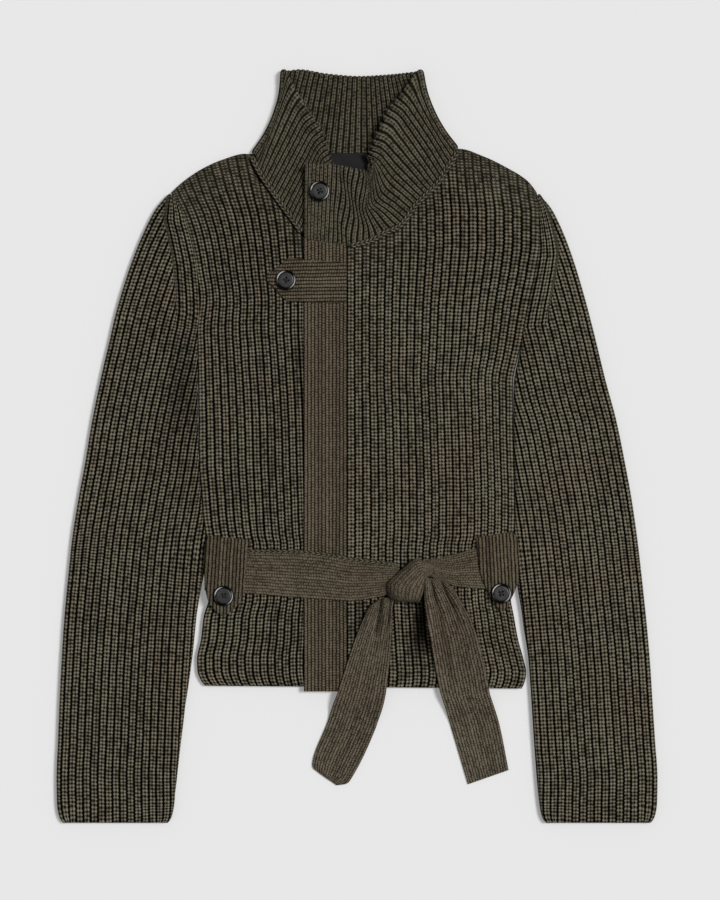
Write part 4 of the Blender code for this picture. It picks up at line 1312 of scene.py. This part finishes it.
@dataclass
class Belt:
    """Belt round the waist: over the right front, under the back and back over the left front."""

    wall: float = 2.2
    ribs: int = 15
    samples: int = 5                 # lattice columns in one rib
    stitch: float = 2.6
    step: float = 3.0                # distance between rows, and less round the side turns
    turn_rows: int = 4
    turn_size: float = 4.0           # rows of the tables nearer than this make a turn
    least: float = 0.12              # least distance between rows
    raised: float = 10.0             # height above which the folds press the belt
    relief: float = 0.2
    level: float = 0.8
    front_right: Table = (           # x, y of the lower and upper edge, and height of the middle
        (41, -142, -115.5, 15), (20, -148.5, -112.2, 14.2), (-7, -152, -109.5, 13.6),
        (-30, -150.5, -105, 13.6), (-53.5, -149, -102.5, 13.6), (-62, -148.5, -102.2, 11.1),
        (-104, -145, -101.5, 11.1), (-138, -143, -99.5, 11.1),
    )
    back: Table = ((-120.0, -142.0, -98.0, 1.1), (0.0, -142.0, -98.0, 1.1), (120.0, -142.0, -98.0, 1.1))
    front_left: Table = (
        (145, -141, -99, 11.1), (118, -140, -100.5, 11.1), (97, -138, -106, 11.1), (80, -131, -110, 12.4),
        (67, -127, -112, 14),
    )
    side_right: tuple[float, float, float] = (-145.0, -142.5, -99.0)
    side_left: tuple[float, float, float] = (151.0, -141.5, -98.5)
    turn: Table = ((-0.1, 11.1), (2.4, 10.4), (3.4, 8.0), (3.4, 4.2), (2.5, 1.9), (-0.1, 1.1))
    folds: Table = (
        (60, -116, 110, -124, 2.2, -0.9), (70, -112, 118, -110, 2.5, 0.6),
        (62, -123, 100, -134, 2.4, -0.7), (38, -128, -5, -140, 4, 0.7), (38, -124, 0, -118, 3, -0.6),
        (30, -134, 2, -147, 2.5, -0.5),
    )

    def turned(self, side: tuple[float, float, float], outward: float) -> list[tuple[float, ...]]:
        """Rows round one side of the body, from the front down to the back."""
        return [(side[0] + outward * out, side[1], side[2], z) for out, z in self.turn]

    def build(self, knit: bpy.types.Material, edge: bpy.types.Object) -> None:
        """Args:
            knit: finish of the belt.
            edge: the chain along its upper edge; not used.
        """
        rows = list(self.front_right) + self.turned(self.side_right, -1.0) + list(self.back)
        rows += self.turned(self.side_left, 1.0)[::-1] + list(self.front_left)
        table = np.array(rows)
        spine = np.stack((table[:, 0], (table[:, 1] + table[:, 2]) / 2.0, table[:, 3]), axis=-1)
        along = run_length(spine, 0)
        steps = [stations(along[-1], self.step, self.wall / 2.0)]
        steps += [np.linspace(low, high, self.turn_rows) for low, high in zip(along, along[1:])
                  if high - low < self.turn_size]
        places = np.unique(np.round(np.concatenate(steps), 2))
        places = places[np.insert(np.diff(places) > self.least, 0, True)]
        section = smooth(along, table, places)
        share = np.linspace(0.0, 1.0, self.ribs * self.samples + 1)
        y = section[:, 1:2] + (section[:, 2:3] - section[:, 1:2]) * share
        x = np.repeat(section[:, 0:1], len(share), axis=1)
        z = np.repeat(section[:, 3:4], len(share), axis=1)
        middle = np.stack((x, y, z), axis=-1)
        middle[..., 2] += pressed(middle, self.folds) * (z > self.raised)
        counts = np.broadcast_to(share * self.ribs, x.shape)
        knit_map = np.stack((counts, run_length(middle, 0) / self.stitch), axis=-1)
        relief = self.relief * (ridge_height(counts) - self.level)
        wall = Wall(middle, self.wall, knit_map, over=relief, under=relief)
        piece = wall.shell().make("belt_round", knit)
        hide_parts("belt_band")


@dataclass
class Knot:
    """Knot of the belt: one turn of the band, arched over the crossing and tucked in below."""

    base: float = 15.2
    top: float = 29.6
    ribs: int = 10
    samples: int = 6                 # lattice columns in one rib
    stitch: float = 2.6
    step: float = 1.4                # distance between rows
    rim: float = 2.0
    dome: tuple[float, float] = (2.6, 0.55)      # powers of the arch across: how full and how steep
    relief: float = 0.3
    level: float = 0.9
    tuck: float = 0.93               # size of the underside
    sink: float = 0.6                # how far it goes below the base
    sections: Table = (              # x and y of one edge and of the other, and share of the height
        (75.5, -116.5, 72.5, -128, 0.30), (67.5, -113.5, 69, -129, 0.62),
        (58.8, -110.3, 68.1, -131.8, 0.86), (45, -119.5, 67.6, -134.7, 1),
        (35.3, -127.9, 67.1, -138.6, 1), (29, -135.7, 65.7, -143.5, 0.97),
        (29.4, -143.5, 63.7, -148.4, 0.86), (33.3, -149.4, 62.2, -151.4, 0.62),
        (39.2, -152.6, 60.8, -153, 0.2),
    )
    folds: Table = (
        (66, -118, 40, -140, 2.2, -1.3), (66, -124, 56, -146, 2, -1.1), (58, -114, 36, -132, 1.8, -0.8),
    )

    def build(self, knit: bpy.types.Material) -> None:
        """Args:
            knit: finish of the belt.
        """
        table = np.array(self.sections)
        along = run_length((table[:, 0:2] + table[:, 2:4]) / 2.0, 0)
        section = smooth(along, table, stations(along[-1], self.step, self.rim))
        share = np.linspace(0.0, 1.0, self.ribs * self.samples + 1)
        flat = section[:, None, 0:2] * (1.0 - share[:, None]) + section[:, None, 2:4] * share[:, None]
        full, steep = self.dome
        dome = np.maximum(1.0 - np.abs(2.0 * share - 1.0) ** full, 0.0) ** steep
        over_z = self.base + (self.top - self.base) * section[:, 4:5] * dome
        over = np.concatenate((flat, over_z[..., None]), axis=-1)
        counts = np.broadcast_to(share * self.ribs, over_z.shape)
        relief = self.relief * (ridge_height(counts) - self.level)
        over[..., 2] += (pressed(over, self.folds) + relief) * dome
        centre = flat.mean(axis=(0, 1))
        under_z = np.full_like(over_z, self.base - self.sink)
        under = np.concatenate((centre + (flat - centre) * self.tuck, under_z[..., None]), axis=-1)
        knit_map = np.stack((counts, run_length(over, 0) / self.stitch), axis=-1)
        piece = Shell(over, under, knit_map).make("belt_knot_turn", knit)
        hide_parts("belt_knot")


@dataclass
class NeckSeam:
    """Raised double chain of stitches along a seam or an edge."""

    name: str
    line: Table                      # x, y and height of its middle
    width: float = 5.6
    link: float = 4.6                # length of one link
    wall: float = 2.4
    columns: int = 12
    beads: float = 0.35              # height of the links
    ridges: tuple[float, float] = (0.9, 0.7)     # height of the two ridges, and what is taken off
    full_wall: float = 2.4           # thickness at which the relief is as stated

    def build(self, knit: bpy.types.Material) -> bpy.types.Object:
        """Make the chain as a narrow strip over the seam.

        Args:
            knit: finish of the chain.

        Returns:
            The chain's object.
        """
        line = np.array(self.line)
        along = run_length(line, 0)
        places = stations(along[-1], self.link / 4.0, 1.0)
        spine = smooth(along, line, places)
        ahead = np.gradient(spine, places, axis=0)[:, :2]
        ahead /= np.linalg.norm(ahead, axis=1, keepdims=True)
        right = np.stack((ahead[:, 1], -ahead[:, 0]), axis=-1)
        share = np.linspace(0.0, 1.0, self.columns + 1)
        flat = spine[:, None, :2] + right[:, None] * ((share - 0.5) * self.width)[:, None]
        z = np.repeat(spine[:, 2:3], len(share), axis=1)
        middle = np.concatenate((flat, z[..., None]), axis=-1)
        counts = np.broadcast_to(share, z.shape)
        courses = np.repeat(places[:, None], len(share), axis=1) / self.link
        relief = self.beads * np.cos(2.0 * np.pi * courses) * np.sin(np.pi * share)
        relief = relief + self.ridges[0] * (rib_height(counts) - self.ridges[1])
        wall = Wall(middle, self.wall, np.stack((counts, courses), axis=-1),
                    over=relief * self.wall / self.full_wall)
        piece = wall.shell().make(self.name, knit)
        return piece


@dataclass
class Button:
    """Turned four-hole button with a raised rim, sewn on by a crossed thread."""

    name: str
    node: str
    place: tuple[float, float, float]
    turn: float = 0.0                # degrees round its middle
    tilt: float = 0.0                # degrees off the flat
    profile: Table = (               # radius and height, from the middle below to the middle above
        (0, 0), (7.4, 0), (8.9, 0.35), (9.8, 1.1), (10, 1.8), (9.8, 2.5), (9.3, 2.92), (8.7, 2.95),
        (8.2, 2.6), (7.9, 2.05), (7.6, 1.72), (7.2, 1.7), (6.8, 1.92), (6.3, 2.02), (4.5, 1.9), (0, 1.8),
    )
    steps: int = 64
    hole: float = 1.15               # radius of a hole
    offset: float = 2.2              # distance of the holes from the middle
    drill: tuple[int, float] = (20, 10.0)        # sides and length of what cuts a hole
    sharp: float = 50.0              # degrees between faces that keep an edge
    rim_start: float = 7.0           # radius beyond which the rim's finish is used
    glints: Table = ((138.0, 34.0), (-18.0, 40.0))   # angle and reach of each painted highlight on the rim, in degrees
    glint_ring: tuple[float, float] = (8.1, 9.0)     # radii between which the highlight is painted
    thread: float = 0.24             # radius of the thread
    stitch: float = 1.3              # length of a stitch, in offsets
    stitch_lift: tuple[float, float] = (1.95, 0.12)  # their height, and what a quarter turn adds
    thread_sides: int = 10
    thread_round: float = 0.2        # rounding of its ends

    def blank(self) -> bpy.types.Object:
        """Spin the button's profile into a body without holes.

        Returns:
            The object, not linked to the scene.
        """
        bm = bmesh.new()
        line = [bm.verts.new((radius * MM, 0.0, height * MM)) for radius, height in self.profile]
        edges = [bm.edges.new(pair) for pair in zip(line, line[1:])]
        bmesh.ops.spin(bm, geom=line + edges, cent=(0.0, 0.0, 0.0), axis=(0.0, 0.0, 1.0),
                       angle=math.tau, steps=self.steps, use_merge=True)
        bmesh.ops.remove_doubles(bm, verts=bm.verts, dist=0.00001)
        bmesh.ops.recalc_face_normals(bm, faces=bm.faces)
        blank = bpy.data.objects.new("blank", bpy.data.meshes.new("blank"))
        bm.to_mesh(blank.data)
        bm.free()
        return blank

    def cutter(self) -> bpy.types.Object:
        """Make the four pins that cut the holes.

        Returns:
            The object, not linked to the scene.
        """
        cutter = bpy.data.objects.new("cutter", bpy.data.meshes.new("cutter"))
        sides, length = self.drill
        bm = bmesh.new()
        for step in range(4):
            angle = math.pi / 4.0 + math.pi / 2.0 * step
            spot = Matrix.Translation(Vector((math.cos(angle), math.sin(angle), 0.0)) * self.offset * MM)
            bmesh.ops.create_cone(bm, cap_ends=True, segments=sides, radius1=self.hole * MM,
                                  radius2=self.hole * MM, depth=length * MM, matrix=spot)
        bm.to_mesh(cutter.data)
        bm.free()
        return cutter

    def drilled(self) -> bpy.types.Mesh:
        """Cut the holes out of the blank.

        Returns:
            The button's mesh at the origin.
        """
        blank, cutter = self.blank(), self.cutter()
        for item in (blank, cutter):
            bpy.context.scene.collection.objects.link(item)
        cut = blank.modifiers.new("holes", "BOOLEAN")
        cut.operation = "DIFFERENCE"
        cut.object = cutter
        bpy.context.view_layer.update()
        graph = bpy.context.evaluated_depsgraph_get()
        mesh = bpy.data.meshes.new_from_object(blank.evaluated_get(graph), depsgraph=graph)
        for item in (blank, cutter):
            bpy.data.objects.remove(item, do_unlink=True)
        mesh.materials.clear()
        return mesh

    def build(
        self, horn: bpy.types.Material, rim: bpy.types.Material, thread: bpy.types.Material
    ) -> None:
        """Make the button, its shiny rim and its thread in place.

        Args:
            horn: finish of the middle.
            rim: finish of the rim.
            thread: finish of the thread.
        """
        mesh = self.drilled()
        for face in mesh.polygons:
            face.material_index = int(face.center.xy.length > self.rim_start * MM)
        at = Matrix.Translation(Vector(self.place) * MM)
        at = at @ Matrix.Rotation(math.radians(self.turn), 4, "Z")
        at = at @ Matrix.Rotation(math.radians(self.tilt), 4, "X")
        mesh.transform(at)
        self.paint_highlights(mesh)
        piece = add_piece(self.name, mesh, horn)
        mesh.materials.append(rim)
        mesh.set_sharp_from_angle(angle=math.radians(self.sharp))
        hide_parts(self.node)
        self.sew(at, thread)

    def paint_highlights(self, mesh: bpy.types.Mesh) -> None:
        """Store where the highlight is painted on the rim.

        Args:
            mesh: the button's mesh in place.
        """
        spots = np.array([vert.co[:2] for vert in mesh.vertices]) / MM - np.array(self.place[:2])
        radius, angle = np.hypot(spots[:, 0], spots[:, 1]), np.degrees(np.arctan2(spots[:, 1], spots[:, 0]))
        painted_bright = np.zeros(len(spots))
        for middle, reach in self.glints:
            apart = (angle - middle + 180.0) % 360.0 - 180.0
            painted_bright = np.maximum(painted_bright, np.exp(-((apart / reach) ** 4)))
        painted_bright *= (radius > self.glint_ring[0]) & (radius < self.glint_ring[1])
        layer = mesh.attributes.new(TONE_AND_PAINTED_LIGHT, "FLOAT", "POINT")
        layer.data.foreach_set("value", painted_bright.astype(np.float32))

    def sew(self, at: Matrix, thread: bpy.types.Material) -> None:
        """Lay two crossed stitches of thread over the four holes.

        Args:
            at: place of the button.
            thread: finish of the thread.
        """
        bm = bmesh.new()
        lift, more = self.stitch_lift
        for quarter in (1.0, 3.0):
            lean = Matrix.Rotation(math.pi / 4.0 * quarter, 4, "Z") @ Matrix.Rotation(math.pi / 2.0, 4, "Y")
            place = Matrix.Translation(Vector((0.0, 0.0, (lift + more * quarter) * MM))) @ lean
            made = bmesh.ops.create_cone(bm, cap_ends=True, segments=self.thread_sides,
                                         radius1=self.thread * MM, radius2=self.thread * MM,
                                         depth=self.stitch * self.offset * MM, matrix=place)
            rim = {edge for vert in made["verts"] for edge in vert.link_edges if len(edge.link_faces) == 2}
            ends = [edge for edge in rim if any(len(face.verts) > 4 for face in edge.link_faces)]
            bmesh.ops.bevel(bm, geom=ends, offset=self.thread_round * MM, affect="EDGES", segments=3,
                            profile=0.5, material=-1)
        mesh = bpy.data.meshes.new(self.name + "_thread")
        bm.to_mesh(mesh)
        bm.free()
        mesh.transform(at)
        piece = add_piece(self.name + "_thread", mesh, thread)


@dataclass
class NeckLabel:
    """Small folded ribbon sewn inside the back of the collar, left blank."""

    x: tuple[float, float] = (-29.0, 11.0)
    y: tuple[float, float] = (268.0, 287.0)
    z: float = 5.6
    wall: float = 0.9
    step: float = 1.0                # distance between lattice points
    sag: tuple[float, float, float] = (0.12, 0.31, 0.4)      # depth of its waves, and rates in x and y
    weave: float = 1.6               # threads in a millimetre

    def build(self, satin: bpy.types.Material) -> None:
        """Args:
            satin: finish of the ribbon.
        """
        across = self.x[0] + stations(self.x[1] - self.x[0], self.step, self.wall / 2.0)
        up = self.y[0] + stations(self.y[1] - self.y[0], self.step, self.wall / 2.0)
        x, y = np.meshgrid(across, up)
        depth, rate_x, rate_y = self.sag
        sag = depth * np.sin(x * rate_x) * np.sin(y * rate_y)
        middle = np.stack((x, y, self.z + sag), axis=-1)
        threads = np.stack((x * self.weave, y * self.weave), axis=-1)
        piece = Wall(middle, self.wall, threads).shell().make("blank_neck_label", satin)
        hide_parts("neck_label")


@dataclass
class Studio:
    """Pale floor, soft light from the right and a camera straight above the garment."""

    height: float = 2.5              # of the camera, in metres
    centre: tuple[float, float] = (2.94, -4.41)
    tall: float = 882.0              # what the picture's height covers, at the height of plane
    plane: float = 8.0
    sensor: float = 36.0
    sun_strength: float = 2.63
    sun_angle: float = 18.0
    sun_way: tuple[float, float, float] = (-0.74, -0.24, -1.25)
    sky: float = 0.30
    floor_colour: Colour = (0.60, 0.60, 0.60)
    floor_glow: float = 0.20
    floor_half: float = 4.0          # half its size, in metres
    floor_drop: float = 0.4
    floor_grain: tuple[float, float] = (3.0, 0.995)  # scale of its patches, and how dark they are

    def build_floor(self) -> None:
        """Make the floor just under the garment."""
        bm = bmesh.new()
        bmesh.ops.create_grid(bm, x_segments=4, y_segments=4, size=self.floor_half)
        bmesh.ops.translate(bm, verts=bm.verts, vec=(0.0, 0.0, -self.floor_drop * MM))
        mesh = bpy.data.meshes.new("floor")
        bm.to_mesh(mesh)
        bm.free()
        dye = Dye("pale_paper")
        scale, dim = self.floor_grain
        dye.paint(dye.blend(dye.noise(scale), self.floor_colour, tuple(dim * c for c in self.floor_colour)))
        dye.set(Roughness=0.95, Specular_IOR_Level=0.1, Emission_Strength=self.floor_glow)
        dye.shader.inputs["Emission Color"].default_value = WHITE
        mesh.materials.append(dye.material)
        floor = bpy.data.objects.new("floor", mesh)
        bpy.context.scene.collection.objects.link(floor)

    def build_lights(self) -> None:
        """Make a wide soft sun from the right and an even sky."""
        lamp = bpy.data.lights.new("key", "SUN")
        lamp.energy = self.sun_strength
        lamp.angle = math.radians(self.sun_angle)
        key = bpy.data.objects.new("key", lamp)
        key.rotation_euler = Vector(self.sun_way).to_track_quat("-Z", "Y").to_euler()
        bpy.context.scene.collection.objects.link(key)
        world = bpy.data.worlds.new("sky")
        world.use_nodes = True
        background = world.node_tree.nodes["Background"]
        background.inputs["Color"].default_value = WHITE
        background.inputs["Strength"].default_value = self.sky
        bpy.context.scene.world = world
        bpy.context.scene.view_settings.view_transform = "Standard"

    def build_camera(self) -> None:
        """Hang the camera over the middle of the picture, looking straight down."""
        data = bpy.data.cameras.new("camera")
        data.sensor_width = self.sensor
        data.lens = self.sensor * (self.height / MM - self.plane) / self.tall
        data.clip_end = 20.0
        camera = bpy.data.objects.new("camera", data)
        camera.location = (self.centre[0] * MM, self.centre[1] * MM, self.height)
        bpy.context.scene.collection.objects.link(camera)
        bpy.context.scene.camera = camera


def finishes() -> dict[str, KnitFinish]:
    """Set out the knits.

    Returns:
        Each knit's finish, by where it is used.
    """
    return {
        "rib": KnitFinish(
            "chunky_rib", (0.196, 0.177, 0.125), (0.192, 0.160, 0.113), (0.0008, 0.0007, 0.0002),
            centre=0.22, width=0.215, bead=0.62, bridge=0.4, lean=0.1, depth=0.9,
            speckle=1.0, wander=0.055, grain=0.7, valley=0.0, scallop=0.07),
        "collar": KnitFinish(
            "collar_rib", (0.130, 0.118, 0.082), (0.128, 0.107, 0.075), (0.006, 0.005, 0.0025),
            centre=0.2, width=0.19, bead=0.45, bridge=0.5, lean=0.5, depth=0.6,
            speckle=1.0, wander=0.06, grain=0.7, valley=0.06, scallop=0.03),
        "chain": KnitFinish(
            "seam_chain", (0.165, 0.150, 0.106), (0.160, 0.134, 0.095), (0.004, 0.0035, 0.0016),
            centre=0.24, width=0.24, bead=0.9, bridge=0.3, lean=1.6, depth=0.8,
            speckle=0.5, wander=0.04, grain=0.4, valley=0.05),
        "fine": KnitFinish(
            "fine_rib", (0.158, 0.131, 0.090), (0.152, 0.120, 0.082), (0.004, 0.003, 0.0015),
            centre=0.0, width=0.43, bead=0.65, bridge=0.5, lean=0.9, depth=0.4,
            speckle=0.6, wander=0.13, grain=0.6, valley=0.12, streak=0.45),
        "tab": KnitFinish(
            "tab_rib", (0.142, 0.118, 0.081), (0.137, 0.108, 0.074), (0.004, 0.003, 0.0015),
            centre=0.0, width=0.40, bead=0.35, bridge=0.5, lean=0.9, depth=0.4,
            speckle=0.6, wander=0.16, grain=0.6, valley=0.10, streak=0.6),
        "belt": KnitFinish(
            "belt_rib", (0.148, 0.124, 0.086), (0.141, 0.112, 0.078), (0.016, 0.0125, 0.008),
            centre=0.0, width=0.5, bead=0.65, bridge=0.5, lean=0.9, depth=0.4,
            speckle=1.1, wander=0.16, grain=0.9, valley=0.15, streak=0.3),
        "tail": KnitFinish(
            "tail_rib", (0.184, 0.156, 0.112), (0.175, 0.142, 0.101), (0.008, 0.0065, 0.004),
            centre=0.0, width=0.45, bead=0.6, bridge=0.5, lean=1.6, depth=0.6,
            speckle=1.1, wander=0.2, grain=0.9, valley=0.2, streak=0.4),
    }


def sleeves() -> tuple[Sleeve, Sleeve]:
    """Set out both sleeves, with their own outlines from the cuff up.

    Returns:
        The right sleeve and the left one.
    """
    right = Sleeve("right_sleeve", "sleeve_right", Side.RIGHT, (
        (-287, -370, -186.5, -370), (-291.5, -365, -182.5, -365), (-294.5, -352, -179.5, -352),
        (-295, -328, -177, -328), (-293.5, -288, -172.5, -288), (-292, -249, -167.5, -249),
        (-290, -210, -162, -210), (-287.5, -171, -158, -171), (-284, -133, -154, -133),
        (-279.5, -90, -149.8, -92), (-273.5, -52, -153.8, -53), (-266.5, -14, -156.5, -15),
        (-260, 25, -157.2, 22), (-252, 64, -157.7, 58), (-243, 103, -157.8, 94),
        (-238.5, 123, -157.3, 113), (-233.5, 142, -155.2, 130), (-220.5, 182, -157.4, 168),
        (-209, 210, -163, 198), (-197, 233, -170.5, 223), (-190, 241.5, -176.5, 236),
        (-184.5, 247.3, -181, 244)
    ), (
        # painted shade: the body's shadow along the inner edge, and softer painted shade on the upper arm
        # and by the cuff
        (-170, 54, 19, 52, 0.54), (-205, 125, 22, 50, 0.12), (-262, -300, 20, 90, 0.12),
    ))
    left = Sleeve("left_sleeve", "sleeve_left", Side.LEFT, (
        (287, -370, 186.5, -370), (291.5, -365, 182, -365), (294.5, -352, 179, -352),
        (295, -328, 176.5, -328), (292.5, -288, 173.5, -288), (290, -249, 171, -249),
        (287.5, -210, 168.2, -210), (284, -171, 162.5, -171), (280, -133, 159, -133),
        (275, -90, 155.6, -92), (269.5, -52, 155.9, -53), (262.5, -14, 155.2, -15),
        (254.5, 25, 154.5, 22), (244, 64, 155, 58), (234.5, 103, 161.3, 94), (229.5, 123, 164, 113),
        (224.5, 142, 167, 130), (212.5, 182, 175, 168), (202, 210, 179.4, 198), (190.5, 233, 179.6, 223),
        (183.5, 241.5, 178.3, 236), (178.3, 247.3, 176.8, 243.5)
    # painted light along the sleeve's middle, and painted shade near the cuff
    ), ((210.0, -75.0, 34.0, 150.0, -0.22), (250.0, -340.0, 26.0, 45.0, 0.12)))
    return right, left


def neck_seams() -> tuple[NeckSeam, ...]:
    """Set out the seam chains between the collar and the body.

    Returns:
        The chains at the right, the left and the back.
    """
    return (
        NeckSeam("neck_seam_right", (
            (-103, 283, 9.2), (-98, 272, 8.6), (-91, 260.5, 8.4), (-82, 247.5, 8.3), (-73, 234.5, 8.3),
            (-63, 221.5, 8.3), (-55, 209.5, 8.3))),
        NeckSeam("neck_seam_left", (
            (99, 288, 9.4), (91, 276, 9), (78.5, 256.5, 8.6), (69, 247, 8.5), (58, 236, 8.5),
            (41, 214.5, 8.6), (26.5, 208, 9), (14.5, 201, 9.4), (-6, 195.5, 10))),
        NeckSeam("neck_seam_back", (
            (-84, 281, 3.4), (-45, 273.3, 3.4), (0, 271.8, 3.4), (45, 273.8, 3.4), (84, 282.8, 3.4))),
    )


def tabs() -> tuple[Strip, Strip, Strip]:
    """Set out the three tabs.

    Returns:
        The neck tab, the right belt tab and the left one.
    """
    # each tab's negative tone is painted shade
    neck = Strip("neck_tab_band", "neck_tab", (
        (-10.2, 140, -10.2, 179, 9.9), (-30, 140, -30, 180.5, 9.9), (-52.8, 140.5, -52.8, 182.5, 9.9),
        (-58, 141, -58, 183, 8.4), (-68, 141.5, -66, 183.5, 7.4), (-80, 153.5, -79, 174, 7.4),
        (-88.5, 161.5, -88.5, 168, 7.4)
    ), ("placket_band",), grain=(1.0, 0.02), tone_and_painted_light=-0.1)
    right = Strip("belt_tab_right_band", "belt_tab_right", (
        (-146.2, -88, -104, -92.5, 9.9), (-147.4, -92, -104.8, -95, 9.9),
        (-148.5, -97, -105.6, -98.5, 12.4), (-149.6, -119, -108.8, -119, 12.4),
        (-148.5, -138, -110, -138, 12.4), (-145.5, -152.5, -112.5, -151, 12.4),
        (-139, -161, -121.5, -160.5, 12.2), (-132.5, -166, -128, -166, 9.9)
    ), ("belt_round",), grain=(-0.06, -1.0), tone_and_painted_light=-0.2)
    left = Strip("belt_tab_left_band", "belt_tab_left", (
        (116, -90, 152.5, -84.5, 9.9), (116.8, -94.5, 157, -91, 9.9), (117.5, -99, 158, -98, 12.4),
        (119.5, -119, 158.8, -117, 12.4), (122.5, -131, 158.9, -128, 12.4),
        (128, -142.5, 154.5, -142, 12.4), (134, -153, 149.5, -152.5, 12.2), (140, -162, 143.5, -162, 9.9)
    ), ("belt_round",), grain=(0.05, -1.0), tone_and_painted_light=-0.2)
    return neck, right, left


def belt_edge() -> NeckSeam:
    """Set out the chain along the belt's upper edge, on the right front.

    Returns:
        The chain.
    """
    return NeckSeam("belt_edge_chain", (
        (-108, -103.4, 12.1), (-62, -104, 12.1), (-53.5, -104.3, 14.6), (-30, -106.8, 14.6),
        (-7, -111.2, 14.6), (20, -114.2, 15.2), (34, -116.4, 15.8)
    ), 3.8, 5.4, 1.3)


def tails() -> tuple[Strip, Strip]:
    """Set out the hanging ends of the belt, from the knot down.

    Returns:
        The right end and the left one.
    """
    right = Strip("belt_end_right", "belt_tail_right", (
        (20, -151.5, 37, -146, 13.5), (12, -158, 35, -159, 12.6), (6, -170, 34.5, -173, 11),
        (-5, -198, 32.5, -205, 9.9), (-19, -241.5, 28.5, -241.5, 9.9), (-23, -252, 25.5, -256, 7),
        (-26.5, -263, 21, -270, 1.5), (-28.5, -270, 17.5, -280, 0), (-44, -314, -6, -328, 0),
        (-43.5, -316.5, -10, -332.5, 0), (-30, -327, -20, -334, 0)
    ), ("left_front_panel", "placket_band"), pitch=3.1, folds=(
        (25, -142, 17, -186, 2.2, -3.4), (20, -146, 6, -186, 2.6, 2.6), (32.5, -142, 30, -178, 1.8, -3),
        (29, -144, 24, -190, 2.4, 2.8), (20, -178, 4, -240, 6, 1.2), (26, -190, 20, -240, 5, -1),
        (-8, -230, -30, -305, 8, 1.2)
    ))
    left = Strip("belt_end_left", "belt_tail_left", (
        (66.5, -129, 80, -129.5, 16.5), (66, -147, 91, -137, 18), (67, -158, 101.5, -152, 17),
        (70.5, -183, 115.5, -180, 13), (79.5, -233, 128.5, -233, 7.4), (81.5, -242, 130, -242, 7.4),
        (86, -256, 134.5, -256, 4), (91.5, -274, 139.5, -272, 0), (109, -333, 149, -319, 0)
    ), ("left_front_panel",), pitch=3.1, folds=(
        (70.5, -128, 77.5, -156, 2, -3.4), (78, -124, 95, -162, 2.2, -3), (74, -126, 87, -170, 2.4, 2.6),
        (68.5, -124, 72, -198, 4, 6), (84, -128, 106, -176, 2.4, 2.2), (86, -160, 102, -236, 7, 1.4),
        (80, -170, 92, -240, 5, -1)
    ))
    return right, left


def buttons() -> tuple[Button, ...]:
    """Set out the four buttons, each on its band.

    Returns:
        The buttons, from the collar down.
    """
    return (
        Button("collar_button", "button_collar", (-36.5, 248.5, 16.0), turn=20.0, tilt=2.7),
        Button("neck_tab_button", "button_neck_tab", (-69.5, 162.0, 9.9), turn=35.0),
        Button("belt_tab_right_button", "button_belt_tab_right", (-130.3, -147.0, 14.9)),
        Button("belt_tab_left_button", "button_belt_tab_left", (141.0, -144.5, 14.9), turn=10.0),
    )


def main() -> None:
    """Build the garment piece by piece, then the studio."""
    logging.basicConfig(level=logging.INFO, format="%(message)s")
    finish = {name: knit.material() for name, knit in finishes().items()}
    studio = Studio()
    studio.build_camera()
    studio.build_floor()
    body = Body()
    body.build(finish["rib"])
    for sleeve in sleeves():
        sleeve.build(finish["rib"])
    Collar().build(finish["collar"], [seam.build(finish["chain"]) for seam in neck_seams()])
    placket = Placket("placket_band", "placket", (), ("right_front_panel",), body=body, square_end=True)
    placket.build(finish["fine"])
    for tab, knit in zip(tabs(), ("fine", "tab", "tab")):
        tab.build(finish[knit])
    Belt().build(finish["belt"], belt_edge().build(finish["chain"]))
    for tail in tails():
        tail.build(finish["tail"])
    Knot().build(finish["belt"])
    horn = ButtonFinish().material()
    # the rim: glossy, near black, with the painted highlight
    rim = ButtonFinish("polished_horn", (0.0005, 0.0005, 0.0005), (0.001, 0.001, 0.001),
                       rough=0.16, coat=0.12, gloss=0.05).material()
    thread = KnitFinish("button_thread", (0.02, 0.02, 0.019), (0.02, 0.02, 0.019), (0.006, 0.006, 0.006),
                        centre=0.0, width=0.9, bead=0.3, bridge=0.5, lean=0.5, depth=0.1).material()
    for button in buttons():
        button.build(horn, rim, thread)
    NeckLabel().build(LabelFinish().material())
    studio.build_lights()


if __name__ == "__main__":
    main()
